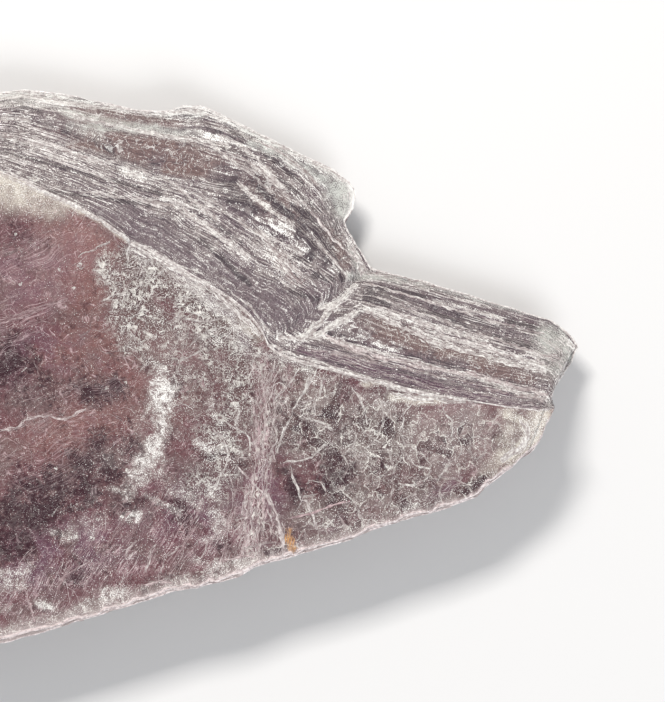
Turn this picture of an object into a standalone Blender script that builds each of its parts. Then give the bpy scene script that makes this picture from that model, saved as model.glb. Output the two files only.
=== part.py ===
"""A lepidolite specimen: a thick book of mica sheets, lying flat with its broad cleavage face up.

The crystal is one closed solid. It is lofted through cross-sections that run from the back edge,
over the stepped flank, the rim and the cleavage face to the front edge, and back underneath.
Plan positions are in millimetres about the middle of the specimen, +X right and +Y to the back.
"""

import math

import bmesh
import bpy
from mathutils import Vector

MM = 0.001

# driving dimensions, in millimetres
BACK_EDGE_HEIGHT = 5.0
LEFT_END_HEIGHT = 9.6
RIM_HEIGHT = 12.6
LEFT_LAMELLA = 0.7
TIP_STEP = 0.45
PLATE_STEP = 0.2
SHELF_DROP = 0.8
SHELF_WIDTH = 1.2
LEDGE_SPLAY = 0.16
END_UNDERCUT = 11.0
LOBE_UNDERCUT = 4.5
STATIONS_PER_SPAN = (22, 14, 8, 18, 8)

# the guide lines, each cut in the same five spans: left end to the bend, to the thumb's tip,
# to the notch, along the prong, and round its end to the right tip;
# the pile edge is where the ledges of the flank start on the lowest sheet
BACK_EDGE = (
    ((-60.6, 10.6), (-57.4, 19.6), (-56.0, 21.2), (-50.2, 31.2), (-47.6, 33.0), (-40.2, 36.6), (-36.4, 39.2),
     (-28.6, 40.0), (-21.6, 41.0), (-18.7, 41.4), (-10.9, 40.3), (-2.3, 38.4), (2.1, 38.0), (4.4, 39.0)),
    ((4.4, 39.0), (7.3, 38.9), (10.6, 37.4), (21.3, 32.1), (26.3, 29.7), (28.4, 28.1), (29.4, 26.3)),
    ((29.4, 26.3), (29.0, 24.1), (27.7, 22.4), (28.1, 21.0), (29.9, 18.3), (31.6, 15.3)),
    ((31.6, 15.3), (33.0, 15.1), (39.9, 13.4), (49.9, 10.3), (57.3, 8.1), (59.1, 7.0), (60.6, 5.7)),
    ((60.6, 5.7), (61.6, 4.1), (60.9, 2.9), (60.7, 1.7), (59.7, 0.7), (58.4, -1.6), (56.9, -3.0),
     (57.9, -3.7)),
)
PILE_EDGE = (
    ((-60.4, 10.0), (-56.9, 19.2), (-55.3, 21.0), (-49.6, 30.7), (-47.1, 32.4), (-40.0, 35.8), (-36.2, 38.2),
     (-28.4, 39.2), (-21.6, 40.2), (-18.7, 40.6), (-10.8, 39.5), (-2.5, 37.6), (4.0, 36.9)),
    ((4.0, 36.9), (7.1, 37.0), (10.2, 36.3), (18.6, 32.6), (21.6, 30.2), (23.8, 27.8)),
    ((23.8, 27.8), (26.4, 23.6), (27.6, 20.7), (29.6, 17.8), (31.2, 14.9)),
    ((31.2, 14.9), (33.0, 14.5), (39.8, 12.9), (49.6, 9.8), (56.9, 7.6), (58.4, 6.6), (59.8, 5.3)),
    ((59.8, 5.3), (60.8, 4.0), (60.1, 2.9), (59.9, 1.8), (58.9, 0.9), (57.9, -1.4), (56.6, -2.9),
     (57.7, -3.9)),
)
RIM = (
    ((-61.0, 7.4), (-56.6, 14.6), (-53.6, 18.0), (-49.6, 20.4), (-43.6, 25.8), (-36.8, 27.4), (-34.2, 29.2),
     (-24.6, 29.7), (-21.6, 29.1), (-16.9, 27.1), (-12.1, 24.9), (-7.3, 22.3), (-5.3, 20.9)),
    ((-5.3, 20.9), (-2.9, 19.0), (-0.7, 18.3), (5.9, 14.3), (11.0, 11.3)),
    ((11.0, 11.3), (13.9, 8.9), (15.9, 6.3), (16.7, 4.3)),
    ((16.7, 4.3), (18.4, 2.9), (21.3, 2.0), (32.3, -0.9), (41.3, -3.0), (49.9, -4.4), (55.3, -5.1)),
    ((55.3, -5.1), (57.0, -4.9), (57.7, -4.6)),
)
FRONT_EDGE = (
    ((-61.6, 3.0), (-60.8, -7.6), (-59.0, -9.8), (-54.8, -23.6), (-51.8, -27.0), (-47.6, -35.2),
     (-43.8, -37.4), (-38.8, -41.2), (-31.8, -41.5), (-30.2, -40.6), (-17.3, -37.4), (-13.0, -36.1)),
    ((-13.0, -36.1), (-4.4, -33.6), (2.0, -31.4), (8.4, -30.1)),
    ((8.4, -30.1), (12.7, -28.9), (14.9, -27.6), (21.3, -25.7)),
    ((21.3, -25.7), (27.7, -24.0), (32.0, -22.1), (43.0, -19.0), (46.7, -17.4), (48.4, -15.7), (53.3, -12.0)),
    ((53.3, -12.0), (55.0, -10.6), (56.1, -8.7), (56.4, -7.6), (57.6, -5.4)),
)
SPINE = ((-47.0, 4.0), (-7.0, -4.0), (9.0, -8.0), (18.0, -8.0), (44.0, -4.0), (44.5, -4.2))

# ledges of the flank, from the pile edge (0) to the rim (1), at the stations named first
LEDGE_TOPS = (5.7, 6.3, 6.9, 7.5, 8.0, 8.6, 9.1, 9.7, 10.2, 10.7, 11.3, 11.9)
LEDGE_LINES = (
    (0.0, (0.08, 0.16, 0.24, 0.32, 0.40, 0.48, 0.56, 0.64, 0.72, 0.80, 0.87, 0.94)),
    (0.6, (0.05, 0.12, 0.21, 0.36, 0.44, 0.52, 0.60, 0.68, 0.77, 0.85, 0.93, 0.97)),
    (1.0, (0.03, 0.17, 0.21, 0.46, 0.51, 0.57, 0.63, 0.69, 0.75, 0.81, 0.88, 0.94)),
    (1.3, (0.04, 0.16, 0.22, 0.44, 0.50, 0.56, 0.61, 0.68, 0.74, 0.80, 0.88, 0.95)),
    (2.0, (0.03, 0.08, 0.14, 0.21, 0.28, 0.50, 0.57, 0.65, 0.73, 0.81, 0.90, 0.95)),
    (2.9, (0.04, 0.18, 0.30, 0.40, 0.48, 0.58, 0.66, 0.75, 0.82, 0.87, 0.91, 0.96)),
    (3.0, (0.05, 0.10, 0.15, 0.21, 0.27, 0.46, 0.62, 0.74, 0.80, 0.85, 0.90, 0.95)),
    (3.12, (0.04, 0.08, 0.13, 0.18, 0.24, 0.31, 0.37, 0.43, 0.48, 0.74, 0.80, 0.90)),
    (3.5, (0.05, 0.10, 0.16, 0.24, 0.31, 0.39, 0.47, 0.53, 0.57, 0.74, 0.82, 0.92)),
    (4.0, (0.06, 0.12, 0.19, 0.26, 0.33, 0.40, 0.47, 0.53, 0.59, 0.74, 0.83, 0.92)),
    (5.0, (0.08, 0.16, 0.24, 0.32, 0.40, 0.48, 0.56, 0.64, 0.72, 0.80, 0.87, 0.94)),
)

# sheet packages of the two side walls, as (height, inset from the edge above) from the bottom up
BACK_PACKAGES = ((0.0, 2.4), (1.5, 2.2), (1.6, 1.5), (2.9, 1.3), (3.0, 1.1), (4.2, 0.9), (4.3, 0.2))
FRONT_PACKAGES = ((0.0, 2.6), (1.8, 2.4), (1.9, 1.8), (4.2, 1.6), (4.3, 1.9), (6.0, 1.7), (6.1, 1.0),
                  (8.3, 0.8), (8.4, 1.2), (9.9, 1.1), (10.0, 0.2))
FRONT_LIP = 11.3
FACE_ROWS = (0.05, 0.12, 0.20, 0.30, 0.41, 0.53, 0.65, 0.76, 0.86, 0.93)

MICA_COLOUR = (0.38, 0.29, 0.29, 1.0)
MICA_ROUGHNESS = 0.38


def clear_scene():
    for thing in list(bpy.data.objects):
        bpy.data.objects.remove(thing, do_unlink=True)


def mix(a, b, share):
    return a + (b - a) * share


def mix_points(a, b, share):
    return tuple(mix(u, v, share) for u, v in zip(a, b))


def smooth_step(low, high, value):
    share = min(1.0, max(0.0, (value - low) / (high - low)))
    return share * share * (3.0 - 2.0 * share)


def jitter(*keys):
    """A repeatable number from -1 to 1 for the given keys."""
    total = sum(key * weight for key, weight in zip(keys, (12.9898, 78.233, 37.719)))
    return 2.0 * math.modf(abs(math.sin(total + 4.1) * 43758.5453))[0] - 1.0


def wander(lane, place, pace):
    """A line that keeps a value from -1 to 1 for a while and then breaks to a new one, at each pace."""
    step = math.floor(place / pace)
    share = smooth_step(0.35, 0.65, place / pace - step)
    return mix(jitter(lane, step), jitter(lane, step + 1), share)


def point_along(points, share):
    lengths = [math.dist(a, b) for a, b in zip(points, points[1:])]
    left = share * sum(lengths)
    for a, b, length in zip(points, points[1:], lengths):
        if left <= length:
            return mix_points(a, b, left / length)
        left -= length
    return points[-1]


def guide_point(guide, station):
    span = min(int(station), len(guide) - 1)
    return point_along(guide[span], station - span)


def spine_point(station):
    span = min(int(station), len(SPINE) - 2)
    return mix_points(SPINE[span], SPINE[span + 1], station - span)


def inward(edge, station, inset):
    """The plan point that lies inset inside the edge, towards the spine."""
    spine = spine_point(station)
    return mix_points(edge, spine, min(0.9, inset / math.dist(edge, spine)))


def undercut(station):
    """How far the lower sheets stop short: a lot below the prong's end and the thumb's lobe."""
    prong = smooth_step(3.55, 4.6, station)
    lobe = smooth_step(1.35, 1.9, station) * (1.0 - smooth_step(2.2, 2.8, station))
    return prong, lobe


def ledge_shares(station):
    for (low, near), (high, far) in zip(LEDGE_LINES, LEDGE_LINES[1:]):
        if station <= high:
            shares = mix_points(near, far, (station - low) / (high - low))
            break
    ends = min(station, 5.0 - station)
    sway = 0.012 * min(1.0, 4.0 * ends)
    moved = [share + sway * wander(lane, station, 0.13) for lane, share in enumerate(shares)]
    return [max(share, 0.015 * (lane + 1)) for lane, share in enumerate(sorted(moved))]


def back_edge_height(station):
    """The wall under the back edge grows taller towards the left end, where the lower ledges die out."""
    return mix(LEFT_END_HEIGHT, BACK_EDGE_HEIGHT, smooth_step(0.0, 0.42, station))


def lamella(station, share):
    """The extra sheet on the left part of the face, which thins out towards the front."""
    border = 1.10 + 0.55 * share
    beside = 1.0 - smooth_step(border, border + 0.12, station)
    return LEFT_LAMELLA * beside * (1.0 - smooth_step(0.25, 0.8, share))


def face_height(station, share):
    """Height of the cleavage face, with share 0 at the rim and 1 at the front edge."""
    across, along = mix_points(guide_point(RIM, station), guide_point(FRONT_EDGE, station), share)
    swell = 0.2 * math.sin(0.11 * across + 0.6) * math.sin(0.09 * along + 1.0)
    plates = PLATE_STEP * round(1.3 * math.sin(0.17 * across + 0.05 * along) * math.sin(0.13 * along + 0.4))
    tip = TIP_STEP * (smooth_step(3.72, 3.78, station + 0.2 * share) + smooth_step(4.2, 4.35, station))
    border = math.sin(math.pi * share)
    return RIM_HEIGHT + lamella(station, share) + (swell + plates) * border - tip


def back_wall(station):
    edge = guide_point(BACK_EDGE, station)
    prong, lobe = undercut(station)
    points = []
    for lane, (height, inset) in enumerate(BACK_PACKAGES):
        depth = 1.0 - height / BACK_EDGE_HEIGHT
        height *= back_edge_height(station) / BACK_EDGE_HEIGHT
        extra = depth * (END_UNDERCUT * prong + LOBE_UNDERCUT * lobe)
        rough = 0.8 * wander(60 + lane // 2, station, 0.19) * (1.0 - prong) * (1.0 - 0.8 * lobe)
        points.append((*inward(edge, station, inset + extra + rough), height))
    return points


def flank(station):
    edge = back_edge_height(station)
    back = guide_point(PILE_EDGE, station)
    rim = guide_point(RIM, station)
    width = math.dist(back, rim)
    shares = [0.0, *ledge_shares(station), 1.0]
    levels = [edge, *(max(edge, level) for level in LEDGE_TOPS), face_height(station, 0.0)]
    points = [(*guide_point(BACK_EDGE, station), edge)]
    for before, share, after, low, high in zip(shares, shares[1:], [*shares[2:], 1.2], levels, levels[1:]):
        splay = min(LEDGE_SPLAY / width, 0.3 * (share - before), 0.3 * (after - share))
        rise = 0.15 * (high - low)
        points.append((*mix_points(back, rim, min(share, 1.0) - splay), low + rise))
        points.append((*mix_points(back, rim, min(share + splay, 1.0)), high))
    return points


def face(station):
    rim = guide_point(RIM, station)
    front = guide_point(FRONT_EDGE, station)
    shelf = 1.0 - SHELF_WIDTH / max(math.dist(rim, front), 4.0 * SHELF_WIDTH)
    points = [(*mix_points(rim, front, share * shelf), face_height(station, share)) for share in FACE_ROWS]
    points.append((*mix_points(rim, front, shelf), face_height(station, 1.0) - 0.1))
    points.append((*mix_points(rim, front, mix(shelf, 1.0, 0.25)), face_height(station, 1.0) - SHELF_DROP))
    return points


def front_wall(station):
    edge = guide_point(FRONT_EDGE, station)
    prong, _ = undercut(station)
    lip = face_height(station, 1.0) - (RIM_HEIGHT - FRONT_LIP)
    points = [(*edge, lip)]
    for lane, (height, inset) in reversed(list(enumerate(FRONT_PACKAGES))):
        depth = 1.0 - height / FRONT_LIP
        height = min(height, lip - 0.3)
        rough = 0.9 * wander(70 + lane // 2, station, 0.16) * (1.0 - prong)
        points.append((*inward(edge, station, inset + depth * END_UNDERCUT * prong + rough), height))
    return points


def section(station):
    """One cross-section, from the middle of the underside up the back, over the top and down the front."""
    back = back_wall(station)
    front = front_wall(station)
    middle = (*spine_point(station), 0.0)
    under_back = mix_points(middle, back[0], 0.5)
    under_front = mix_points(middle, front[-1], 0.5)
    return [middle, under_back, *back, *flank(station), *face(station), *front, under_front]


def station_list():
    stations = [0.0]
    for span, count in enumerate(STATIONS_PER_SPAN):
        stations.extend(span + (step + 1) / count for step in range(count))
    return stations


def close_end(mesh, ring, crest, flip):
    """Fill an end between the back half and the front half of its ring, which meet at the crest."""
    back = ring[:crest + 1]
    front = [ring[0], *reversed(ring[crest:])]
    i = j = 0
    while i < len(back) - 1 or j < len(front) - 1:
        if j == len(front) - 1 or (i < len(back) - 1 and (i + 1) / len(back) <= (j + 1) / len(front)):
            corners = (back[i], back[i + 1], front[j])
            i += 1
        else:
            corners = (back[i], front[j + 1], front[j])
            j += 1
        if len(set(corners)) == 3:
            mesh.faces.new(reversed(corners) if flip else corners)


def crystal_mesh():
    mesh = bmesh.new()
    rings = []
    for station in station_list():
        rings.append([mesh.verts.new([value * MM for value in point]) for point in section(station)])
    size = len(rings[0])
    for near, far in zip(rings, rings[1:]):
        for k in range(size):
            after = (k + 1) % size
            mesh.faces.new((near[k], near[after], far[after], far[k]))
    crest = 2 + len(BACK_PACKAGES) + 2 * (len(LEDGE_TOPS) + 1)
    close_end(mesh, rings[0], crest, True)
    close_end(mesh, rings[-1], crest, False)
    return mesh


def centre_on_base(mesh):
    """Put the origin in the middle of the base of the mesh's box."""
    low = [min(vert.co[axis] for vert in mesh.verts) for axis in range(3)]
    high = [max(vert.co[axis] for vert in mesh.verts) for axis in range(3)]
    middle = Vector((mix(low[0], high[0], 0.5), mix(low[1], high[1], 0.5), low[2]))
    bmesh.ops.translate(mesh, verts=mesh.verts, vec=-middle)


def mica_material():
    material = bpy.data.materials.new("mica")
    material.use_nodes = True
    shader = material.node_tree.nodes["Principled BSDF"]
    shader.inputs["Base Color"].default_value = MICA_COLOUR
    shader.inputs["Roughness"].default_value = MICA_ROUGHNESS
    shader.inputs["Metallic"].default_value = 0.0
    return material


def lepidolite_crystal():
    mesh = crystal_mesh()
    centre_on_base(mesh)
    bmesh.ops.triangulate(mesh, faces=mesh.faces, quad_method="SHORT_EDGE")
    bmesh.ops.recalc_face_normals(mesh, faces=mesh.faces)
    data = bpy.data.meshes.new("lepidolite_crystal")
    mesh.to_mesh(data)
    mesh.free()
    crystal = bpy.data.objects.new("lepidolite_crystal", data)
    bpy.context.scene.collection.objects.link(crystal)
    data.materials.append(mica_material())
    return crystal


clear_scene()
lepidolite_crystal()
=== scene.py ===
import math

import bpy
import numpy as np
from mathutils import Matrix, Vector
from mathutils.bvhtree import BVHTree


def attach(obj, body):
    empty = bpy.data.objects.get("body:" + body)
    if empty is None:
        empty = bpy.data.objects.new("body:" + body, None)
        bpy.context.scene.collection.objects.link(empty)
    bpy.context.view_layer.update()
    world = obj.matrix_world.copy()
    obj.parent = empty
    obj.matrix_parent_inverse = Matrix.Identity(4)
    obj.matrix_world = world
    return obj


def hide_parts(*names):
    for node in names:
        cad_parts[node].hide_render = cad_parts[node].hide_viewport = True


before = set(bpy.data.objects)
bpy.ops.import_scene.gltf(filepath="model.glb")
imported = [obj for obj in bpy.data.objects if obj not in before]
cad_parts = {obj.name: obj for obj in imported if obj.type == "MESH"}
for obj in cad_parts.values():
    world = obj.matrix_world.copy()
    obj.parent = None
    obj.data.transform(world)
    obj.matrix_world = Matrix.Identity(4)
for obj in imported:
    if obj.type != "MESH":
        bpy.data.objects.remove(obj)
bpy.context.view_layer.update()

mm = 0.001
planShift = (0.27, 0.08)                      # mm, from the guide lines' origin to the frame's

# guide lines in mm, in five spans: left end to bend, to thumb tip, to notch, along the prong, round its end
guides = {
    "back": (
        ((-60.6, 10.6), (-57.4, 19.6), (-56, 21.2), (-50.2, 31.2), (-47.6, 33), (-40.2, 36.6),
         (-36.4, 39.2), (-28.6, 40), (-21.6, 41), (-18.7, 41.4), (-10.9, 40.3), (-2.3, 38.4), (2.1, 38),
         (4.4, 39)),
        ((4.4, 39), (7.3, 38.9), (10.6, 37.4), (21.3, 32.1), (26.3, 29.7), (28.4, 28.1), (29.4, 26.3)),
        ((29.4, 26.3), (29, 24.1), (27.7, 22.4), (28.1, 21), (29.9, 18.3), (31.6, 15.3)),
        ((31.6, 15.3), (33, 15.1), (39.9, 13.4), (49.9, 10.3), (57.3, 8.1), (59.1, 7), (60.6, 5.7)),
        ((60.6, 5.7), (61.6, 4.1), (60.9, 2.9), (60.7, 1.7), (59.7, 0.7), (58.4, -1.6), (56.9, -3),
         (57.9, -3.7)),
    ),
    "pile": (
        ((-60.4, 10), (-56.9, 19.2), (-55.3, 21), (-49.6, 30.7), (-47.1, 32.4), (-40, 35.8), (-36.2, 38.2),
         (-28.4, 39.2), (-21.6, 40.2), (-18.7, 40.6), (-10.8, 39.5), (-2.5, 37.6), (4, 36.9)),
        ((4, 36.9), (7.1, 37), (10.2, 36.3), (18.6, 32.6), (21.6, 30.2), (23.8, 27.8)),
        ((23.8, 27.8), (26.4, 23.6), (27.6, 20.7), (29.6, 17.8), (31.2, 14.9)),
        ((31.2, 14.9), (33, 14.5), (39.8, 12.9), (49.6, 9.8), (56.9, 7.6), (58.4, 6.6), (59.8, 5.3)),
        ((59.8, 5.3), (60.8, 4), (60.1, 2.9), (59.9, 1.8), (58.9, 0.9), (57.9, -1.4), (56.6, -2.9),
         (57.7, -3.9)),
    ),
    "rim": (
        ((-61, 7.4), (-56.6, 14.6), (-53.6, 18), (-49.6, 20.4), (-43.6, 25.8), (-36.8, 27.4), (-34.2, 29.2),
         (-24.6, 29.7), (-21.6, 29.1), (-16.9, 27.1), (-12.1, 24.9), (-7.3, 22.3), (-5.3, 20.9)),
        ((-5.3, 20.9), (-2.9, 19), (-0.7, 18.3), (5.9, 14.3), (11, 11.3)),
        ((11, 11.3), (13.9, 8.9), (15.9, 6.3), (16.7, 4.3)),
        ((16.7, 4.3), (18.4, 2.9), (21.3, 2), (32.3, -0.9), (41.3, -3), (49.9, -4.4), (55.3, -5.1)),
        ((55.3, -5.1), (57, -4.9), (57.7, -4.6)),
    ),
    "front": (
        ((-61.6, 3), (-60.8, -7.6), (-59, -9.8), (-54.8, -23.6), (-51.8, -27), (-47.6, -35.2),
         (-43.8, -37.4), (-38.8, -41.2), (-31.8, -41.5), (-30.2, -40.6), (-17.3, -37.4), (-13, -36.1)),
        ((-13, -36.1), (-4.4, -33.6), (2, -31.4), (8.4, -30.1)),
        ((8.4, -30.1), (12.7, -28.9), (14.9, -27.6), (21.3, -25.7)),
        ((21.3, -25.7), (27.7, -24), (32, -22.1), (43, -19), (46.7, -17.4), (48.4, -15.7), (53.3, -12)),
        ((53.3, -12), (55, -10.6), (56.1, -8.7), (56.4, -7.6), (57.6, -5.4)),
    ),
    "spine": (
        ((-47, 4), (-7, -4)), ((-7, -4), (9, -8)), ((9, -8), (18, -8)), ((18, -8), (44, -4)),
        ((44, -4), (44.5, -4.2)),
    ),
}

book = {
    "backEdgeHeight": 5.0, "leftEndHeight": 9.6, "rimHeight": 12.6, "frontLip": 12.34,
    "leftLamella": 0.7, "tipStep": 0.45,
    "shelfDrop": 0.2, "shelfWidth": 0.55, "softness": 0.55,
    "endUndercut": 11.0, "lobeUndercut": 4.5,
    "stations": ((0.6, 58), (1.0, 66), (2.0, 76), (3.0, 44), (4.0, 78), (5.0, 30)),   # (up to, how many)
    "backSheets": 12, "frontSheets": 20, "faceRows": 104, "sheetsPerLedge": 3,
    "majorSplay": 0.11, "minorSplay": 0.055, "sharpAngle": 28,
    "ledgeTops": (5.7, 6.3, 6.9, 7.5, 8.0, 8.6, 9.1, 9.7, 10.2, 10.7, 11.3, 11.9),
    # ledges of the flank from the pile edge (0) to the rim (1), at the stations named first
    "ledgeLines": (
        (0.0, (0.08, 0.16, 0.24, 0.32, 0.40, 0.48, 0.56, 0.64, 0.72, 0.80, 0.87, 0.94)),
        (0.6, (0.05, 0.12, 0.21, 0.36, 0.44, 0.52, 0.60, 0.68, 0.77, 0.85, 0.93, 0.97)),
        (1.0, (0.03, 0.17, 0.21, 0.46, 0.51, 0.57, 0.63, 0.69, 0.75, 0.81, 0.88, 0.94)),
        (1.3, (0.04, 0.16, 0.22, 0.44, 0.50, 0.56, 0.61, 0.68, 0.74, 0.80, 0.88, 0.95)),
        (2.0, (0.03, 0.09, 0.16, 0.24, 0.32, 0.54, 0.61, 0.68, 0.76, 0.84, 0.92, 0.97)),
        (2.9, (0.02, 0.05, 0.08, 0.12, 0.18, 0.29, 0.38, 0.48, 0.57, 0.67, 0.77, 0.86)),
        (3.0, (0.04, 0.09, 0.14, 0.19, 0.26, 0.35, 0.44, 0.53, 0.61, 0.74, 0.81, 0.90)),
        (3.12, (0.04, 0.08, 0.13, 0.18, 0.24, 0.31, 0.37, 0.43, 0.48, 0.74, 0.80, 0.90)),
        (3.5, (0.05, 0.10, 0.16, 0.24, 0.31, 0.39, 0.47, 0.53, 0.57, 0.74, 0.82, 0.92)),
        (4.0, (0.06, 0.12, 0.19, 0.26, 0.33, 0.40, 0.47, 0.53, 0.59, 0.74, 0.83, 0.92)),
        (5.0, (0.08, 0.16, 0.24, 0.32, 0.40, 0.48, 0.56, 0.64, 0.72, 0.80, 0.87, 0.94)),
    ),
    # sheet packages of the side walls, (height, inset) from the bottom up
    "backPackages": ((0.0, 2.4), (1.5, 2.2), (1.6, 1.5), (2.9, 1.3), (3.0, 1.1), (4.2, 0.9), (4.3, 0.2)),
    "frontPackages": ((0.0, 2.6), (1.8, 2.4), (1.9, 1.8), (4.2, 1.6), (4.3, 1.9), (6.0, 1.7), (6.1, 1.0),
                      (8.3, 0.8), (8.4, 1.2), (9.9, 1.1), (10.0, 0.2)),
}


# numbers that wander

def ramp(low, high, value):
    share = np.clip((value - low) / (high - low), 0.0, 1.0)
    return share * share * (3.0 - 2.0 * share)


def chance(*keys):                            # repeatable, from -1 to 1
    total = 4.1
    for key, weight in zip(keys, (12.9898, 78.233, 37.719)):
        total = total + np.asarray(key, dtype=float) * weight
    return 2.0 * np.modf(np.abs(np.sin(total) * 43758.5453))[0] - 1.0


def wander(lane, place, pace):                # keeps a value for a while, then breaks to a new one
    step = np.floor(place / pace)
    share = ramp(0.35, 0.65, place / pace - step)
    return chance(lane, step) * (1.0 - share) + chance(lane, step + 1.0) * share


def drift(lane, place, pace):                 # the same, each lane breaking at places of its own
    return wander(lane, place + 0.5 * pace * (1.0 + chance(lane, 5.3)), pace)


def cloud(x, y, seed):                        # smooth, from -1 to 1, one lump for each unit
    across, along = np.floor(x), np.floor(y)
    u, v = ramp(0.0, 1.0, x - across), ramp(0.0, 1.0, y - along)
    near, far = (chance(across, row, seed) * (1.0 - u) + chance(across + 1.0, row, seed) * u
                 for row in (along, along + 1.0))
    return near * (1.0 - v) + far * v


def clouds(x, y, seed, layers=3):
    total, size = 0.0, 1.0
    for layer in range(layers):
        total = total + size * cloud(x / size, y / size, seed + layer)
        size = size * 0.5
    return total / (2.0 - 2.0 * size)


# the shape of the book

def runLength(line):                          # how far along a line each of its points lies
    return np.r_[0.0, np.cumsum(np.hypot(*np.diff(line, axis=0).T))]


def alongGuide(name, stations):
    guide = guides[name]
    spans = np.minimum(stations.astype(int), len(guide) - 1)
    found = np.zeros((len(stations), 2))
    for span, points in enumerate(guide):
        points = np.array(points)
        lengths = runLength(points)
        mine = spans == span
        for axis in (0, 1):
            found[mine, axis] = np.interp((stations[mine] - span) * lengths[-1], lengths, points[:, axis])
    return found


def stationList():
    stations, start = [np.zeros(1)], 0.0
    for end, count in book["stations"]:
        stations.append(np.linspace(start, end, count + 1)[1:])
        start = end
    return np.concatenate(stations)


def between(a, b, share):                     # points a to b, at one share for each point
    return a + (b - a) * np.asarray(share)[..., None]


def inward(edge, spine, inset):
    return between(edge, spine, np.minimum(0.9, inset / np.hypot(*(spine - edge).T)))


def placed(plan, height):
    return np.concatenate([plan, np.broadcast_to(height, plan.shape[:-1])[..., None]], axis=-1)


def backEdgeHeight(s):
    return book["leftEndHeight"] + (book["backEdgeHeight"] - book["leftEndHeight"]) * ramp(0.0, 0.42, s)


def lamella(s, share):                        # the extra sheet on the left of the face, highest along the rim
    border = 1.12 - 1.2 * share + 0.01 * cloud(share * 150.0, 0.0 * share, 41)
    inside = 1.0 - ramp(border, border + 0.025 + 2.5 * share, s)
    return book["leftLamella"] * inside * (1.0 - ramp(0.03, 0.45, share))


def faceHeight(s, share, plan):
    x, y = plan[..., 0], plan[..., 1]
    swell = 0.2 * np.sin(0.11 * x + 0.6) * np.sin(0.09 * y + 1.0)
    bent = s + 0.2 * share + 0.02 * clouds(share * 7.0, s * 3.0, 45)
    tip = book["tipStep"] * (ramp(3.74, 3.79, bent) + ramp(4.26, 4.32, bent))
    waves = 0.09 * clouds(x / 8.0, y / 8.0, 5) + 0.04 * np.round(2.4 * clouds(x / 5.0, y / 5.0, 9, 4))
    middle = np.sin(np.pi * np.clip(share, 0.0, 1.0))
    return book["rimHeight"] + lamella(s, share) + swell * middle + waves * np.sqrt(middle) - tip


def undercutDepth(s, level, lobed):           # under the prong's end, and under the lobe in the back wall
    depth = book["endUndercut"] * ramp(3.55, 4.6, s)
    if lobed:
        depth = depth + book["lobeUndercut"] * (ramp(1.35, 1.9, s) * (1.0 - ramp(2.2, 2.8, s)))
    return (1.0 - level) * depth


def jagged(edge, spine, s, lane):             # small breaks along an outline
    shift = 0.10 * wander(lane, s, 0.031) + 0.06 * cloud(s * 60.0, s * 0.0, lane) - 0.05
    return inward(edge, spine, 0.1 - shift)


def sheetWall(side, edge, spine, s, top, lane, reach):
    # the side of a pile of thin sheets, from the flat base up
    heights, insets = np.array(book[side + "Packages"]).T
    count = book[side + "Sheets"]
    points = []
    for sheet in range(count):
        for end in (0.06, 0.94):
            level = (sheet + end) / count
            nominal = level * heights[-1] / 0.88
            base = np.interp(nominal, heights, insets)
            loose = wander(lane + np.searchsorted(heights, nominal) // 2, s, 0.17) * reach
            fine = 0.16 * wander(lane + 40 + sheet, s, 0.037) + 0.05 * cloud(s * 55.0, sheet, lane)
            inset = base + loose + fine * (0.4 + end) + undercutDepth(s, level, side == "back")
            points.append(placed(inward(edge, spine, np.maximum(inset, 0.03)), level * top))
    points[0][:, 2] = 0.0
    return points


def ledgeShares(s):                           # main ledges, one column each
    table = book["ledgeLines"]
    places = [row[0] for row in table]
    columns = [np.interp(s, places, lane) for lane in zip(*(row[1] for row in table))]
    sway = 0.012 * np.minimum(1.0, 4.0 * np.minimum(s, 5.0 - s))
    columns = np.sort([column + sway * drift(lane, s, 0.13) for lane, column in enumerate(columns)], axis=0)
    return [np.maximum(column, 0.015 * (lane + 1)) for lane, column in enumerate(columns)]


def thinLedges(s, width, rimTop):
    # every sheet edge of the flank: its share of the way to the rim, the levels below and above, splay, key
    edge = backEdgeHeight(s)
    shares = [0.0 * s, *ledgeShares(s), 0.0 * s + 1.0]
    levels = [edge, *(np.maximum(edge, top) for top in book["ledgeTops"]), rimTop]
    found = []
    for lane, (start, end, low, high) in enumerate(zip(shares, shares[1:], levels, levels[1:])):
        wide = ramp(1.6, 3.2, (end - start) * width)       # broad treads stay bare in the middle
        level = low
        for sheet in range(book["sheetsPerLedge"]):
            key = 200 + 5 * lane + sheet
            even = (sheet + 1.0) / (book["sheetsPerLedge"] + 1.0) + 0.08 * drift(key, s, 0.14)
            bunched = (0.10, 0.86, 0.94)[sheet] + 0.03 * drift(key, s, 0.09)
            place = start + (end - start) * (even + (bunched - even) * wide)
            place = place + 0.04 / width * cloud(s * 24.0, key, 3)
            rise = (high - low) * (0.16 + 0.12 * drift(key + 100, s, 0.11))
            found.append((place, level, level + rise, book["minorSplay"], key))
            level = level + rise
        found.append((end, level, high, book["majorSplay"], 400 + lane))
    return found


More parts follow.
